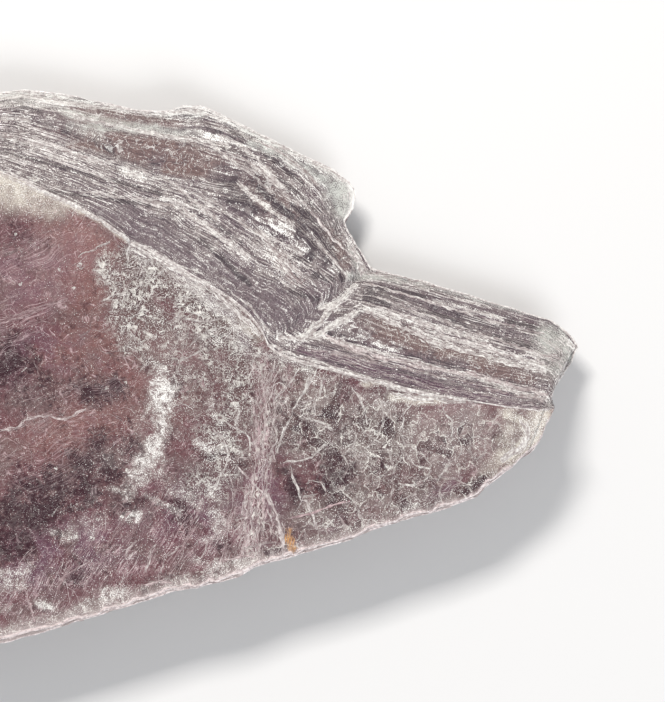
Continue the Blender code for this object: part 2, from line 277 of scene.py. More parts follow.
def flankPoints(s, back, pile, rim, rimTop):
    width = np.hypot(*(rim - pile).T)
    ledges = thinLedges(s, width, rimTop)
    places = np.array([ledge[0] for ledge in ledges])
    for row in range(1, len(places)):
        places[row] = np.maximum(places[row], places[row - 1] + 0.004)
    places *= 1.0 / np.maximum(places[-1], 1.0)
    padded = np.vstack([0.0 * s, places, 1.02 + 0.0 * s])
    edge = backEdgeHeight(s)
    points = [placed(back, edge), placed(between(back, pile, 0.5 + 0.0 * s), edge + 0.03)]
    for row, (_, low, high, splay, key) in enumerate(ledges):
        before, after = padded[row + 1] - padded[row], padded[row + 2] - padded[row + 1]
        half = np.minimum(splay / width, 0.32 * np.minimum(before, after))
        curl = 0.035 * cloud(s * 26.0, key, 17)
        low = low + book["softness"] * (high - low) - 0.02 + 0.5 * curl / (1.0 + (before * width) ** 2)
        high = high + curl / (1.0 + (after * width) ** 2)
        points.append(placed(between(pile, rim, padded[row + 1] - half), low))
        points.append(placed(between(pile, rim, np.minimum(padded[row + 1] + half, 1.0)), high))
    return points


def facePoints(s, rim, front):
    length = np.hypot(*(front - rim).T)
    shelf = 1.0 - book["shelfWidth"] / np.maximum(length, 4.0 * book["shelfWidth"])
    shelf = shelf + 0.35 / np.maximum(length, 5.0) * wander(88, s, 0.05)
    points = []
    for row in range(book["faceRows"]):
        share = 0.0 * s + (row + 0.6) / book["faceRows"]
        plan = between(rim, front, share * shelf)
        points.append(placed(plan, faceHeight(s, share, plan)))
    brink = faceHeight(s, 0.0 * s + 1.0, front)
    drop = book["shelfDrop"]
    for out, fall in ((0.0, 0.08), (0.12, 0.5 * drop), (0.30, 0.6 * drop), (0.36, drop)):
        points.append(placed(between(rim, front, shelf + out * (1.0 - shelf)), brink - fall))
    return points, brink


def bookGrid(s):
    back, pile, rim, front, spine = (alongGuide(name, s) for name in guides)
    back, front = jagged(back, spine, s, 51), jagged(front, spine, s, 52)
    face, brink = facePoints(s, rim, front)
    lip = brink - (book["rimHeight"] - book["frontLip"])
    backWall = sheetWall("back", back, spine, s, backEdgeHeight(s), 60, 0.8)
    frontWall = sheetWall("front", front, spine, s, lip, 70, 0.9)
    flank = flankPoints(s, back, pile, rim, faceHeight(s, 0.0 * s, rim))
    middle = placed(spine, 0.0)
    under = [middle, (middle + backWall[0]) * 0.5]
    over = [placed(front, lip), *frontWall[::-1], (middle + frontWall[0]) * 0.5]
    grid = np.stack([*under, *backWall, *flank, *face, *over], axis=1)
    firsts, column = {}, 0                    # first column of each part of the ring
    parts = {"base": under, "back": backWall, "flank": flank, "face": face, "front": over}
    for name, part in parts.items():
        firsts[name] = column
        column += len(part)
    firsts["end"] = column
    return grid, firsts, bookFacts(grid, firsts, {"back": back, "pile": pile, "rim": rim, "front": front})


def bookFacts(grid, firsts, lines):
    # what the materials read: where a point lies along and across the sheets, the risers, which the flank
    # paints lighter as a painted highlight, and the thin front and back edges, painted pale for the light on
    # them
    rows, size = grid.shape[:2]
    flank, face, front = firsts["flank"], firsts["face"], firsts["front"]
    runs = {name: runLength(line)[:, None] for name, line in lines.items()}
    flow = np.zeros((rows, size, 3))
    flow[:, :flank, 0] = runs["back"]
    flow[:, flank:face, 0] = 0.5 * (runs["pile"] + runs["rim"])
    flow[:, face:front, 0] = runs["rim"]
    flow[:, front:, 0] = runs["front"]
    flow[..., 1] = grid[..., 2]
    across = np.hypot(*np.moveaxis(grid[:, flank:front, :2] - lines["pile"][:, None], -1, 0))
    flow[:, flank:front, 1] = across.mean(axis=0)
    riser = np.zeros(size)
    riser[flank + 2:face:2] = 1.0
    # painted light: the thin front edge is painted near white for the glow of light through it, and the back
    # edge for its highlight
    edge_light = np.zeros((rows, size))
    edge_light[:, front - 8:front - 4] = (0.05, 0.12, 0.20, 0.35)
    edge_light[:, front - 4:front + 3] = 1.0
    edge_light[:, flank - 2:flank + 1] = 1.0
    looks = np.full(size, 2)                  # which material each strip of faces takes
    looks[flank - 1:face - 1] = 1
    looks[face - 1:front - 1] = 0
    return {"flow": flow, "riser": riser, "edge_light": edge_light, "looks": looks}


def endFaces(ring, heights, crest, flip):     # closes an end between its back half and its front half
    back, front = list(ring[:crest + 1]), [ring[0], *ring[:crest - 1:-1]]
    faces = []
    i = j = 0
    while i < len(back) - 1 or j < len(front) - 1:
        if j == len(front) - 1 or (i < len(back) - 1 and heights[back[i + 1]] <= heights[front[j + 1]]):
            corners = (back[i], back[i + 1], front[j])
            i += 1
        else:
            corners = (back[i], front[j + 1], front[j])
            j += 1
        if len(set(corners)) == 3:
            faces.append(corners[::-1] if flip else corners)
    return faces


def keepNumbers(mesh, name, values, kind="FLOAT", domain="POINT"):
    store = mesh.attributes.new(name, kind, domain)
    field = "vector" if kind == "FLOAT_VECTOR" else "value"
    store.data.foreach_set(field, np.ascontiguousarray(values, dtype=np.float32).ravel())


def linked(name, data):
    thing = bpy.data.objects.new(name, data)
    bpy.context.scene.collection.objects.link(thing)
    return thing


# where the look of the surface changes: (x, y, half length, half width, turn in degrees, strength), in mm

marks = {
    "crackle": (
        (-5.6, 15, 2.4, 2.4, 0, 0.7), (-3, 11, 3, 5, 0, 0.9), (2.4, 13.5, 5.5, 2.4, -40, 0.9),
        (8.5, 9.6, 6.5, 2.4, -38, 1), (9.5, 6, 4.5, 2.6, -25, 1), (1.5, 6, 4.5, 3.5, 0, 0.7),
        (13, 4.5, 2.6, 3.5, -50, 1), (12.5, -1, 3, 5, 0, 0.7), (4, 0.5, 6, 2, -20, 0.6),
        (5, -4.5, 5, 3, 0, 0.3), (10.5, -9, 3, 5, 0, 0.7), (20, 1.6, 4.5, 1.4, -10, 0.8),
        (-3.6, 15.4, 1.6, 1.6, 0, 0.9), (7, -16, 3, 2, 0, 0.5), (-38, 14, 7, 5, 30, 0.7),
        (-50, 2, 5, 9, 0, 0.6),
    ),
    "feather": (
        (1.8, -2.6, 2, 2.6, -15, 1.1), (2.2, -4.9, 1.5, 1.7, 0, 0.95), (1.9, -7.2, 1.7, 2.1, -15, 0.95),
        (0.6, -9.8, 2.6, 1.6, 50, 1), (-1, -12.2, 2.2, 1.6, 55, 0.95), (-2.4, -14.2, 1.7, 1.5, 45, 0.85),
        (-1.6, -7.4, 2.6, 1.6, 40, 0.5), (3.8, -8.6, 1.6, 1.2, 30, 0.5), (0.2, -14.6, 2.6, 0.8, -28, 0.75),
        (-2.9, -20.3, 1.2, 0.5, 10, 0.9), (7, -10.3, 1, 0.8, -20, 0.9), (9.4, -11, 1.6, 0.7, -60, 0.6),
        (9, -16.6, 0.8, 0.9, 0, 0.8), (9.8, -21.3, 1.2, 1.8, 15, 0.85), (4.6, -16.8, 2.2, 0.8, -20, 0.7),
        (-7.2, -20.6, 2, 1, 45, 0.6), (-12.4, -23.2, 2.2, 0.8, 35, 0.65), (-9.4, -18, 4, 1, 25, 0.4),
        (-6, -12.5, 3.5, 1.6, 25, 0.45), (-20, -30.2, 2, 1.4, 15, 0.8), (-15.2, -33.2, 1, 0.5, -20, 1),
        (-5.6, -31, 2.2, 0.8, 25, 0.9), (9.8, -27.4, 1.3, 0.8, 10, 0.9), (38, -18.2, 3, 0.8, 30, 0.6),
        (54.8, -7.6, 1, 2.6, -15, 0.75), (51.4, -13.4, 2.6, 0.7, 38, 0.6), (33, -3.6, 3, 0.8, -14, 0.7),
        (24, 0, 2.6, 0.7, -14, 0.7), (-33, -12, 4, 2, 30, 0.8), (-45, -20, 3, 2, 50, 0.7),
    ),
    "cells": (
        (23.5, -6, 6, 6, 0, 0.9), (32, -9, 8, 6, 0, 1), (28, -19, 7, 3.4, 15, 0.8),
        (43, -9.6, 7, 4.6, 15, 0.8), (52, -8.6, 3, 3.6, 0, 0.6), (9.5, -12, 3, 6, 0, 0.6),
        (35, -17, 5, 3, 20, 0.8),
    ),
    "fans": (
        (-17, -31, 8, 3.6, 15, 0.8), (-6, -26.5, 7, 4.5, 30, 0.9), (4, -22.5, 6, 5, 25, 0.8),
        (9, -24, 5, 3.5, 15, 0.8), (-36, -34, 9, 5, 0, 0.9), (30, -20.5, 6, 1.6, 16, 0.4),
    ),
    "column": (
        (15.8, -1, 1.2, 4, 0, 0.5), (16.2, -9, 1.4, 6, 0, 0.8), (14.8, -20, 1.8, 5.5, -8, 1),
        (18.6, -2, 1.2, 4, -10, 0.4), (17.8, -22.5, 1, 2.6, 10, 0.6),
    ),
    "mist": (
        (-17, 14.5, 6, 5, 20, 0.75), (-10, 18, 4, 3, -20, 0.6), (44, -8, 7, 5, 10, 0.9),
        (4, 3, 5, 4, 0, 0.4), (-40, 8, 9, 7, 0, 0.5),
    ),
    "slant": (
        (-17.5, 8.5, 5, 1.4, 26, 1), (-19.6, 4.6, 4, 1.2, 28, 0.6), (-17, 17, 5, 3, 20, 0.5),
        (-12, -5, 7, 3, 20, 0.4), (-14, -11, 8, 4, 35, 0.4), (-38, -4, 9, 9, 30, 0.5),
    ),
    "dark": (
        (-20.4, 1.4, 3.6, 3.4, 10, 0.9), (-7, -2.8, 3.2, 2.2, 20, 0.75), (-17, -19.5, 5.4, 4, 30, 1),
        (20.3, -16.4, 1.2, 2.8, 12, 1), (26.2, -15.2, 2.6, 2.6, 0, 0.9), (-18.6, 17.9, 3, 4, 0, 0.35),
        (-10, -14, 9, 5, 30, 0.75), (-3, -18, 3, 2.6, 0, 0.6), (4.5, -19.5, 2.6, 2.6, 0, 0.6),
        (-21, -24, 5, 3, 20, 0.8), (22.4, -6.6, 1.2, 3, 20, 0.6), (34.5, -2.6, 2.6, 1.2, -20, 0.3),
        (-10, -28.6, 2.6, 1.8, 30, 0.6), (-33, -6, 7, 9, 20, 0.8), (10.4, -24, 1.2, 1.6, 0, 0.6),
        (27.6, -9, 1.6, 3.4, 10, 0.5), (-14, -2, 7, 3, 20, 0.4), (4, -1.6, 2, 3, 0, 0.5),
    ),
    "brown": (
        (-9.9, 19.3, 5.4, 2.6, -20, 0.9), (-8, 13, 4, 5, 0, 0.8), (-9, 4, 7, 4, 25, 0.7),
        (-10, -7.5, 9, 3.5, 15, 0.8), (0.5, 4, 3, 2, 0, 0.6), (-3.5, -1.5, 3, 4, 0, 0.6),
        (4.6, -3.5, 1.8, 3, 0, 0.7), (22.6, -1.5, 3, 2.4, 0, 0.4), (-40, 4, 9, 9, 0, 0.8),
    ),
    "purple": (
        (-18, 14, 5, 5, 0, 0.7), (-14, -26, 12, 4.5, 15, 0.9), (7, -19.5, 7, 5, 0, 0.8),
        (16.5, -17, 3, 7, 0, 0.7), (26.3, -21, 3, 1.6, 16, 1), (41, -16.8, 5, 1.4, 25, 1),
        (30, -8, 9, 8, 0, 0.35), (44, -9, 5, 4, 0, 0.5), (-36, -26, 9, 8, 0, 0.7), (-17, 3, 6, 4, 20, 0.6),
    ),
    # cream along the left rim is partly a painted highlight, where the surface curves toward the light
    "cream": (
        (-21, 27.6, 9.5, 3, -14, 1), (-16.5, 25.6, 6, 1, -20, 0.6), (55.4, -6.8, 1.3, 3.4, -20, 1),
        (50.8, -8.4, 1.3, 2.2, -10, 0.5), (51, -5.2, 1.4, 0.8, 0, 0.7), (-40, 22, 9, 4, 30, 0.8),
        (49.6, -12.4, 3, 1, 35, 0.6), (14, 6.4, 1, 3, 55, 0.5), (8, 11, 5, 0.5, -38, 0.4),
    ),
    "bare": (
        (-1, 32.6, 12, 1.8, -12, 1), (-5.9, 37, 7, 0.9, -6, 0.9), (17.3, 26, 4.6, 2.2, -45, 0.8),
        (35, 6.5, 5.5, 1.6, -16, 1), (47.5, 2.2, 7, 1.3, -16, 1), (-41, 32, 9, 2, 25, 0.8),
    ),
    "shade": (
        (13.5, 25, 4.2, 2, -42, 0.6), (23, 20.5, 4.6, 2.4, -45, 0.6), (16.5, 26.8, 3, 1.2, -40, 0.6),
        (33, 12, 4, 1, -16, 0.5), (44, 8.8, 6, 0.8, -16, 0.4),
    ),
    "quiet": (
        (24, 11.2, 3, 1.6, 50, 0.9), (3, 18.2, 8, 1.8, -36, 1), (10, 13.4, 7, 1.8, -38, 1),
        (15.5, 11.3, 7.5, 2.2, -32, 1), (45, 9, 10, 0.9, -16, 0.7), (-30, 28.5, 9, 1.5, 0, 0.8),
    ),
    "grainy": (
        (19.3, 15.6, 2.2, 1.6, -40, 0.9), (-13, 31, 9, 2, -10, 0.7), (0, 26.5, 8, 2, -25, 0.7),
        (17, 32.5, 9, 2.6, -30, 0.9), (28.3, 27, 1.6, 3, 0, 1), (24, 7.5, 5, 0.8, 38, 1),
        (-17, 39.6, 9, 1.3, 0, 0.9), (57, 5, 2.4, 3, 0, 0.9), (3, 37.5, 6, 1.3, 0, 0.6),
    ),
    "pale": (
        (27.4, 26.4, 2.2, 3.6, 0, 1), (26, 29.6, 3, 1, -45, 0.6), (-17, 40.2, 11, 1, -4, 0.4),
        (57.6, 5, 1.8, 2.4, 0, 0.9), (58.6, 0.6, 1.4, 1.4, 0, 0.7), (6, 38, 5, 0.9, 0, 0.4),
        (17, 34, 7, 1.2, -26, 0.7), (-45, 33, 8, 1.2, 33, 0.8), (-3, 35.4, 9, 0.5, -4, 0.8),
    ),
    "rimBand": (
        (5, 13.6, 4, 0.8, -40, 1), (10, 9.6, 4, 0.9, -40, 1), (12.8, 5.2, 2.8, 0.9, -65, 0.9),
        (-2, 17.2, 2, 0.6, -30, 0.7), (19, 1.8, 3, 0.5, -14, 0.7),
    ),
    "rust": (
        (20.1, -23.4, 0.85, 1.5, -8, 1),
    ),
}

# the same for bands: (half width, strength, points), in mm

strips = {
    # bright bands of the flank: the sheet edges' own paleness, and a painted highlight where the sheet edges
    # catch the light
    "bright": (
        (0.86, 1, (-23.6, 40.3), (-21.6, 40.7), (-17.6, 40.6), (-13.3, 39.6)),
        (0.57, 1, (-13.3, 39.4), (-7.3, 38.7), (-0.1, 37.6), (2.1, 37.4)),
        (0.71, 1, (2.4, 37.9), (5, 38.1), (7.9, 37.6), (10.7, 36.6)),
        (0.57, 1, (10.7, 36.4), (14.4, 35), (21.3, 31.4), (25.6, 29.6), (27.9, 28.1)),
        (0.57, 1, (-12.1, 37.7), (-10.4, 37), (-8.4, 36.6)),
        (0.37, 0.9, (-13.3, 38.1), (-10.7, 37.3), (-7.9, 36.4), (-5, 35.9), (-0.1, 34.9), (3, 34.3),
         (7.9, 33.7), (11, 33)),
        (0.71, 0.7, (-23, 36.7), (-20.1, 37), (-17.6, 37)),
        (0.37, 0.9, (9.3, 34.7), (11.6, 33.6), (13.6, 32.3), (15.9, 30), (17.9, 27.7), (19.9, 26.1),
         (22.1, 24.6)),
        (0.34, 0.8, (11, 32.1), (14.1, 30.6), (16.7, 28.3), (18.9, 26.3), (21.1, 24.4)),
        (0.34, 0.7, (15, 34.1), (17.9, 32.3), (20.9, 30), (23.9, 27.4)),
        (0.31, 0.8, (7.9, 33.7), (10.1, 31.9), (12.3, 30.1), (14.4, 28.9), (17.1, 26.3)),
        (0.46, 0.9, (14.1, 21.9), (15.9, 20.1), (17.9, 19.3), (20.1, 18.3), (21.7, 17.3)),
        (0.34, 1, (12.1, 28.1), (13.6, 26.4), (15.3, 24.9), (17.3, 23.4), (19.1, 22.1), (20.3, 21.6)),
        (0.86, 1, (18, 16.6), (19.9, 14.7)), (1.3, 0.35, (17, 18.2), (18.9, 15.8), (21.3, 13)),
        (0.31, 0.8, (22.7, 20.4), (24.4, 18.4), (26.3, 16.1), (28.1, 13.9)),
        (0.57, 0.8, (28.4, 19.3), (29.6, 16.4), (30.4, 14.4)),
        (0.34, 0.7, (-23, 34.9), (-21.6, 34.4), (-17.3, 33.4), (-13, 32.3), (-8.7, 31), (-5, 30.6)),
        (0.37, 0.8, (-5, 30.6), (-3, 29.7), (-0.1, 28.6), (2.4, 27.9), (4.9, 26), (7, 24), (9.3, 22.3)),
        (0.71, 1, (-4.1, 29.1), (-1.3, 28.7)), (0.49, 1, (-17.3, 28.1), (-15.9, 28)),
        (0.34, 0.9, (1.3, 25.3), (3.4, 24.9), (5.1, 23.7), (7.9, 21.1), (10.7, 19.1), (13.7, 16.7)),
        (0.43, 0.6, (30.6, 14.9), (35.6, 14.3), (42.7, 12.3), (49.9, 10.6), (57, 8.4)),
        (0.37, 0.9, (39.9, 10.9), (42.7, 10.1), (45.6, 9.3), (47.9, 8.7), (50.7, 8)),
        (0.37, 0.9, (30.3, 9.3), (32, 9.3), (35.6, 8.4), (39.9, 7.3), (44.1, 6), (46.7, 4.9)),
        (0.51, 1, (37.7, 6.7), (42.7, 5.1), (47, 4), (52.7, 2.4), (56.6, 1)),
        (0.43, 0.8, (44.9, 6), (48, 4.7)), (0.43, 1, (54.1, 3.1), (57.3, 2.6)),
        (0.43, 0.8, (25.6, 5.3), (27.9, 4.6), (30.6, 3.7), (33.4, 3.1), (35.3, 2.4)),
        (0.34, 0.6, (35.3, 2.1), (39.9, 1.4), (42.7, 0.4)),
        (0.46, 0.9, (42.7, 0.4), (46.3, -0.3), (49.9, -1.6), (52.9, -2.6), (56.4, -3.4)),
        (0.43, 0.9, (18, 3.3), (21.3, 1.9), (27, 0.3), (32.7, -1.1), (37.7, -3), (42.7, -3.7), (45, -3.9)),
        (0.57, 1, (59.3, 5.1), (61, 4)),
        (0.49, 1, (29.3, 12.9), (28, 11.9), (27.1, 10.9), (25.6, 10), (23.9, 9.7)),
        (0.6, 1, (30.7, 9.3), (29.3, 9.1), (27.6, 8), (26, 7), (24.1, 6)),
        (0.57, 0.8, (15, 7.9), (17, 5.9), (19.9, 5.3), (24.4, 5.4)),
    ),
    "shade": (
        (0.66, 1, (14.9, 27.7), (16.9, 25.7)), (0.57, 1, (17.7, 24.4), (20.1, 22.9)),
        (0.86, 0.9, (15.9, 21.9), (19.3, 21.1)), (0.51, 0.9, (20.3, 24.4), (23, 22.4)),
        (0.57, 0.9, (13.9, 23.3), (15.9, 23)), (0.66, 0.7, (11.3, 25.1), (13.7, 24.6)),
        (0.71, 0.9, (20.1, 19.3), (23.1, 18.7)), (0.63, 0.8, (24.4, 18.4), (26, 16.6)),
        (0.57, 0.9, (26.1, 15.3), (27.4, 14)), (0.57, 0.7, (23.3, 14.3), (25.7, 13.7)),
        (0.43, 0.7, (20.9, 17), (22.6, 16.4)), (0.86, 0.6, (10.1, 27), (11.9, 26.4)),
        (0.31, 0.8, (15.9, 32), (18.4, 30.1), (21.6, 27.6)), (0.29, 0.8, (11, 35.3), (13, 34.3)),
        (0.29, 0.8, (13.3, 31), (15.9, 28.9), (17.9, 26.6)),
        (0.43, 0.8, (18.4, 28.1), (21.3, 25.6), (24.1, 23.6)), (0.34, 0.7, (10.1, 32.7), (13.4, 31.4)),
        (0.34, 0.8, (32, 12.7), (38.4, 11.4), (45.6, 9.3), (52.7, 7.4), (58.4, 5.7)),
        (0.49, 0.9, (49.1, 5.4), (54.4, 3.9)), (0.4, 0.8, (30.7, 11), (33.9, 10.3)),
        (0.34, 0.7, (38.4, 9.1), (42.7, 8.1), (45.6, 6.6)),
        (0.29, 0.7, (-21.6, 32.1), (-15.9, 30.6), (-10.1, 29), (-4.4, 27.6), (1.3, 26)),
        (0.29, 0.7, (-14.4, 26.3), (-7.3, 25.4), (-0.1, 24.3)),
        (0.34, 0.6, (4.7, 25.6), (7.9, 22.7), (12.7, 18.9)),
        (0.29, 0.7, (-13, 35), (-8.7, 33.6), (-5.9, 32.1)), (0.57, 0.5, (-20.9, 38.7), (-16.6, 38.1)),
        (0.43, 0.7, (7, 19.3), (10.6, 16.1), (14.1, 12.9)), (0.43, 0.6, (19.9, 12.1), (23.9, 10.7)),
    ),
    "band": (
        (0.86, 1, (27.7, 1.9), (35.6, -0.3), (42.7, -2.4), (49.9, -4), (55, -5.3)),
        (0.51, 1, (21.3, 3.6), (24.1, 2.9), (27.7, 1.9)),
        (0.51, 0.6, (34.4, 12.1), (39.9, 10.7), (49.9, 8.1), (57.9, 6.1)),
        (0.57, 0.6, (35.6, 1.6), (41.3, 0.4), (47, -1.6), (51.3, -3)),
    ),
    "bare": (
        (1.14, 1, (-7.7, 33), (-4.4, 32.9), (-0.1, 33.1), (3, 32.7)),
        (0.57, 1, (-11.9, 32.9), (-8.4, 33.1)), (1, 1, (2.1, 29.6), (5.6, 29.3), (8.4, 29.4)),
        (0.71, 0.8, (5.9, 32.4), (8.4, 31.6), (10.4, 30)), (1.14, 1, (32.7, 5.6), (35.6, 5), (39, 4)),
        (0.71, 1, (41, 3.3), (43.9, 3)), (0.86, 0.9, (46.1, 1.3), (49.9, 0.3), (54.4, -0.7)),
        (0.86, 0.8, (-12.1, 38.7), (-8.7, 38), (-4.4, 37.3), (-0.1, 36.4), (3.3, 36)),
        (1, 0.7, (24.7, 20.9), (26.4, 19.1), (27.7, 16.1)),
    ),
    "quiet": (
        (1.43, 1, (-7.6, 23.1), (-4.4, 21.9), (-0.1, 18.4), (5.6, 14.1), (10.6, 10.7), (15, 7.6)),
        (1.14, 0.5, (-0.1, 23), (7, 17.6), (12.7, 12.9), (18.4, 9)),
        (1, 0.9, (21.6, 9.4), (24.1, 8.1), (26.4, 7.6)),
        (0.43, 0.8, (32, 13.1), (42.7, 10.7), (52.7, 8.4), (58.4, 6.7)),
    ),
    "pale": (
        (1.14, 1, (27, 28.1), (27.9, 26.1), (27.4, 24.1)),
        (0.57, 0.7, (14.1, 33.6), (18.4, 31.6), (23, 29), (25.6, 27)), (0.57, 0.8, (28.7, 18.1), (30, 15)),
        (0.57, 0.8, (28.4, 14.1), (32.7, 14.3), (35.6, 13.6)), (0.86, 0.3, (-21.6, 40), (-13, 38.7)),
        (0.71, 0.9, (59.6, 4.3), (60.1, 2.4)), (0.57, 0.6, (-13, 37.9), (-4.4, 36.1), (1.3, 35)),
        (0.43, 0.5, (35.6, 13.9), (45.6, 11.3), (55.6, 8.6)),
    ),
    # the first three cream bands, along the left rim, are partly a painted highlight
    "cream": (
        (0.86, 1, (-23.6, 30.3), (-21.6, 29.1), (-17.3, 27.3), (-13, 25.3), (-9.9, 23.7)),
        (0.37, 1, (-9.9, 23.9), (-6.7, 21.9), (-3.9, 19.9), (-2.9, 18.9)),
        (2, 0.55, (-23.6, 27), (-21.6, 26.1), (-17.6, 25.1), (-14.1, 24.3)),
        (0.4, 0.7, (7, 11.3), (9.4, 9.7), (11.2, 8), (12.2, 6.2)),
        (0.6, 1, (51, -5.9), (52.7, -6.4), (53.9, -8.4), (52.7, -10.6), (50.1, -12.4)),
        (0.57, 0.7, (55.6, -5.3), (56.3, -7.6), (54.1, -10.7), (49.9, -14.4)),
        (0.57, 0.8, (34.4, -3.1), (37.3, -3.6), (41.3, -3.6)),
        (0.43, 0.6, (30.6, -1.4), (32.1, -0.9), (34.4, -1.1)),
    ),
    "feather": (
        (2, 1, (1.3, -1.6), (1.7, -4.2)), (0.63, 0.8, (-0.3, 2), (1.6, 0.9)),
        (0.49, 0.8, (-1.1, -6.1), (0, -4.3)), (1.2, 0.7, (1.9, -5.7), (2, -7.9), (1.3, -9.6)),
        (1.2, 0.95, (-0.3, -10), (1, -8.7)), (1.3, 0.9, (1, -11), (-0.4, -13), (-1.4, -15)),
        (0.57, 0.7, (1.7, -12.4), (1, -14.7)), (1.1, 0.75, (-2.3, -15.1), (-3.4, -17.3)),
        (0.49, 0.8, (-4.3, -16.7), (-6, -16.1)), (0.49, 0.7, (-0.6, -17.3), (2, -18.6), (3.9, -19.6)),
        (0.49, 0.7, (2.4, -16.7), (5, -17.6), (7.1, -19.3)),
        (0.49, 1, (-4.1, -20.3), (-1.6, -19.7), (-2, -20.9)), (0.66, 0.9, (6.4, -9.7), (8, -10.7)),
        (0.71, 0.8, (8.7, -16.3), (9.3, -17.6)), (1.06, 0.8, (8.9, -20), (10.7, -21.7)),
        (0.57, 0.7, (7.6, -23.7), (10.3, -23)), (0.66, 0.8, (-14.1, -22.6), (-10.7, -23.1)),
        (1, 0.6, (-9.6, -20.7), (-8.4, -22.7)), (1, 0.8, (-23, -28.3), (-19.6, -28.6), (-17.6, -27.7)),
        (0.71, 0.8, (-21.3, -30.4), (-19.6, -29.9)), (0.66, 1, (-16.1, -32.7), (-14, -33.3)),
        (0.77, 0.9, (-6.9, -32), (-3.9, -30.9)), (0.63, 0.7, (6.3, -26.4), (9, -27.6)),
        (0.71, 0.8, (12.1, -26.7), (14.1, -28.1)), (0.49, 0.7, (-10.9, -33.3), (-8.9, -32.4)),
        (0.49, 0.6, (-21.9, -33.9), (-19.9, -33)), (0.57, 0.6, (12.1, -4.3), (12.4, -6.4)),
        (0.57, 0.6, (8.7, -3.6), (9.1, -5.9)),
    ),
    "cells": (
        (1.3, 0.85, (-30, -39.4), (-17.3, -36.4), (-13, -35.1), (-4.4, -32.6), (2, -30.4), (8.4, -29.1),
         (14.9, -26.6), (21.3, -24.7), (27.7, -23), (32, -21.1), (43, -18), (48.4, -14.7)),
    ),
    "crackle": (
        (1.43, 0.9, (-6.7, 15.3), (-4.4, 12.1), (-4.1, 7.9), (-3.3, 4.3)),
        (1.71, 0.9, (-3, 17), (-0.1, 14.1), (2, 12.9)), (1.86, 0.8, (-1.6, 10.7), (1.3, 7.1)),
        (1.86, 1, (4.9, 10.7), (9.1, 9), (11, 7)), (1.14, 0.8, (7, 5.3), (12.7, 4.3), (15, 3.3)),
        (1.29, 0.7, (-1.3, 4.3), (0.1, 1.9)), (1.14, 0.6, (7.6, 3.3), (9.1, 0.7)),
    ),
}


def bandShare(row, x, y):
    half, strength, *line = row
    nearest = np.full(np.shape(x), 99.0)
    for (startX, startY), (endX, endY) in zip(line, line[1:]):
        runX, runY = endX - startX, endY - startY
        along = np.clip(((x - startX) * runX + (y - startY) * runY) / (runX ** 2 + runY ** 2), 0.0, 1.0)
        nearest = np.minimum(nearest, np.hypot(x - startX - along * runX, y - startY - along * runY))
    return strength * ramp(1.45, 0.45, nearest / half)


def blots(name, x, y, bent=None):             # bent: places pushed further about, for the ellipses
    total = 0.0 * x
    for row in strips.get(name, ()):
        total = np.maximum(total, bandShare(row, x, y))
    x, y = bent or (x, y)
    for atX, atY, half, tall, turn, strength in marks.get(name, ()):
        c, s = math.cos(math.radians(turn)), math.sin(math.radians(turn))
        u = ((x - atX) * c + (y - atY) * s) / half
        v = ((y - atY) * c - (x - atX) * s) / tall
        total = np.maximum(total, strength * ramp(1.75, 0.25, np.hypot(u, v)))
    return total


def pushedPlaces(x, y, reach, size, seeds):
    return tuple(value + reach * clouds(x / size, y / size, seed) for value, seed in zip((x, y), seeds))


def paintBook(grid):
    x, y = grid[..., 0], grid[..., 1]
    bent, near = pushedPlaces(x, y, 1.2, 2.6, (31, 37)), pushedPlaces(x, y, 0.2, 1.2, (33, 35))
    return {name: blots(name, *near, bent) for name in sorted({*marks, *strips})}


# materials

class Wire:                                   # a socket that takes part in sums
    def __init__(self, kit, socket):
        self.kit, self.socket = kit, socket

    def maths(self, operation, other=None, flip=False, **settings):
        pair = (other, self) if flip else (self, other)
        sockets = {place: value for place, value in enumerate(pair) if value is not None}
        return self.kit.node("ShaderNodeMath", {"operation": operation, **settings}, sockets)

    def __add__(self, other): return self.maths("ADD", other)
    def __radd__(self, other): return self.maths("ADD", other)
    def __sub__(self, other): return self.maths("SUBTRACT", other)
    def __rsub__(self, other): return self.maths("SUBTRACT", other, flip=True)
    def __mul__(self, other): return self.maths("MULTIPLY", other)
    def __rmul__(self, other): return self.maths("MULTIPLY", other)
    def __abs__(self): return self.maths("ABSOLUTE")

    def clamped(self): return self.maths("ADD", 0.0, use_clamp=True)
    def atLeast(self, other): return self.maths("MAXIMUM", other)

    def ramped(self, low, high):              # 0 below low, 1 above high, or the other way round
        settings = {"interpolation_type": "SMOOTHSTEP"}
        ends = (low, high, 0.0, 1.0) if low < high else (high, low, 1.0, 0.0)
        return self.kit.node("ShaderNodeMapRange", settings, {"Value": self, **dict(zip(range(1, 5), ends))})


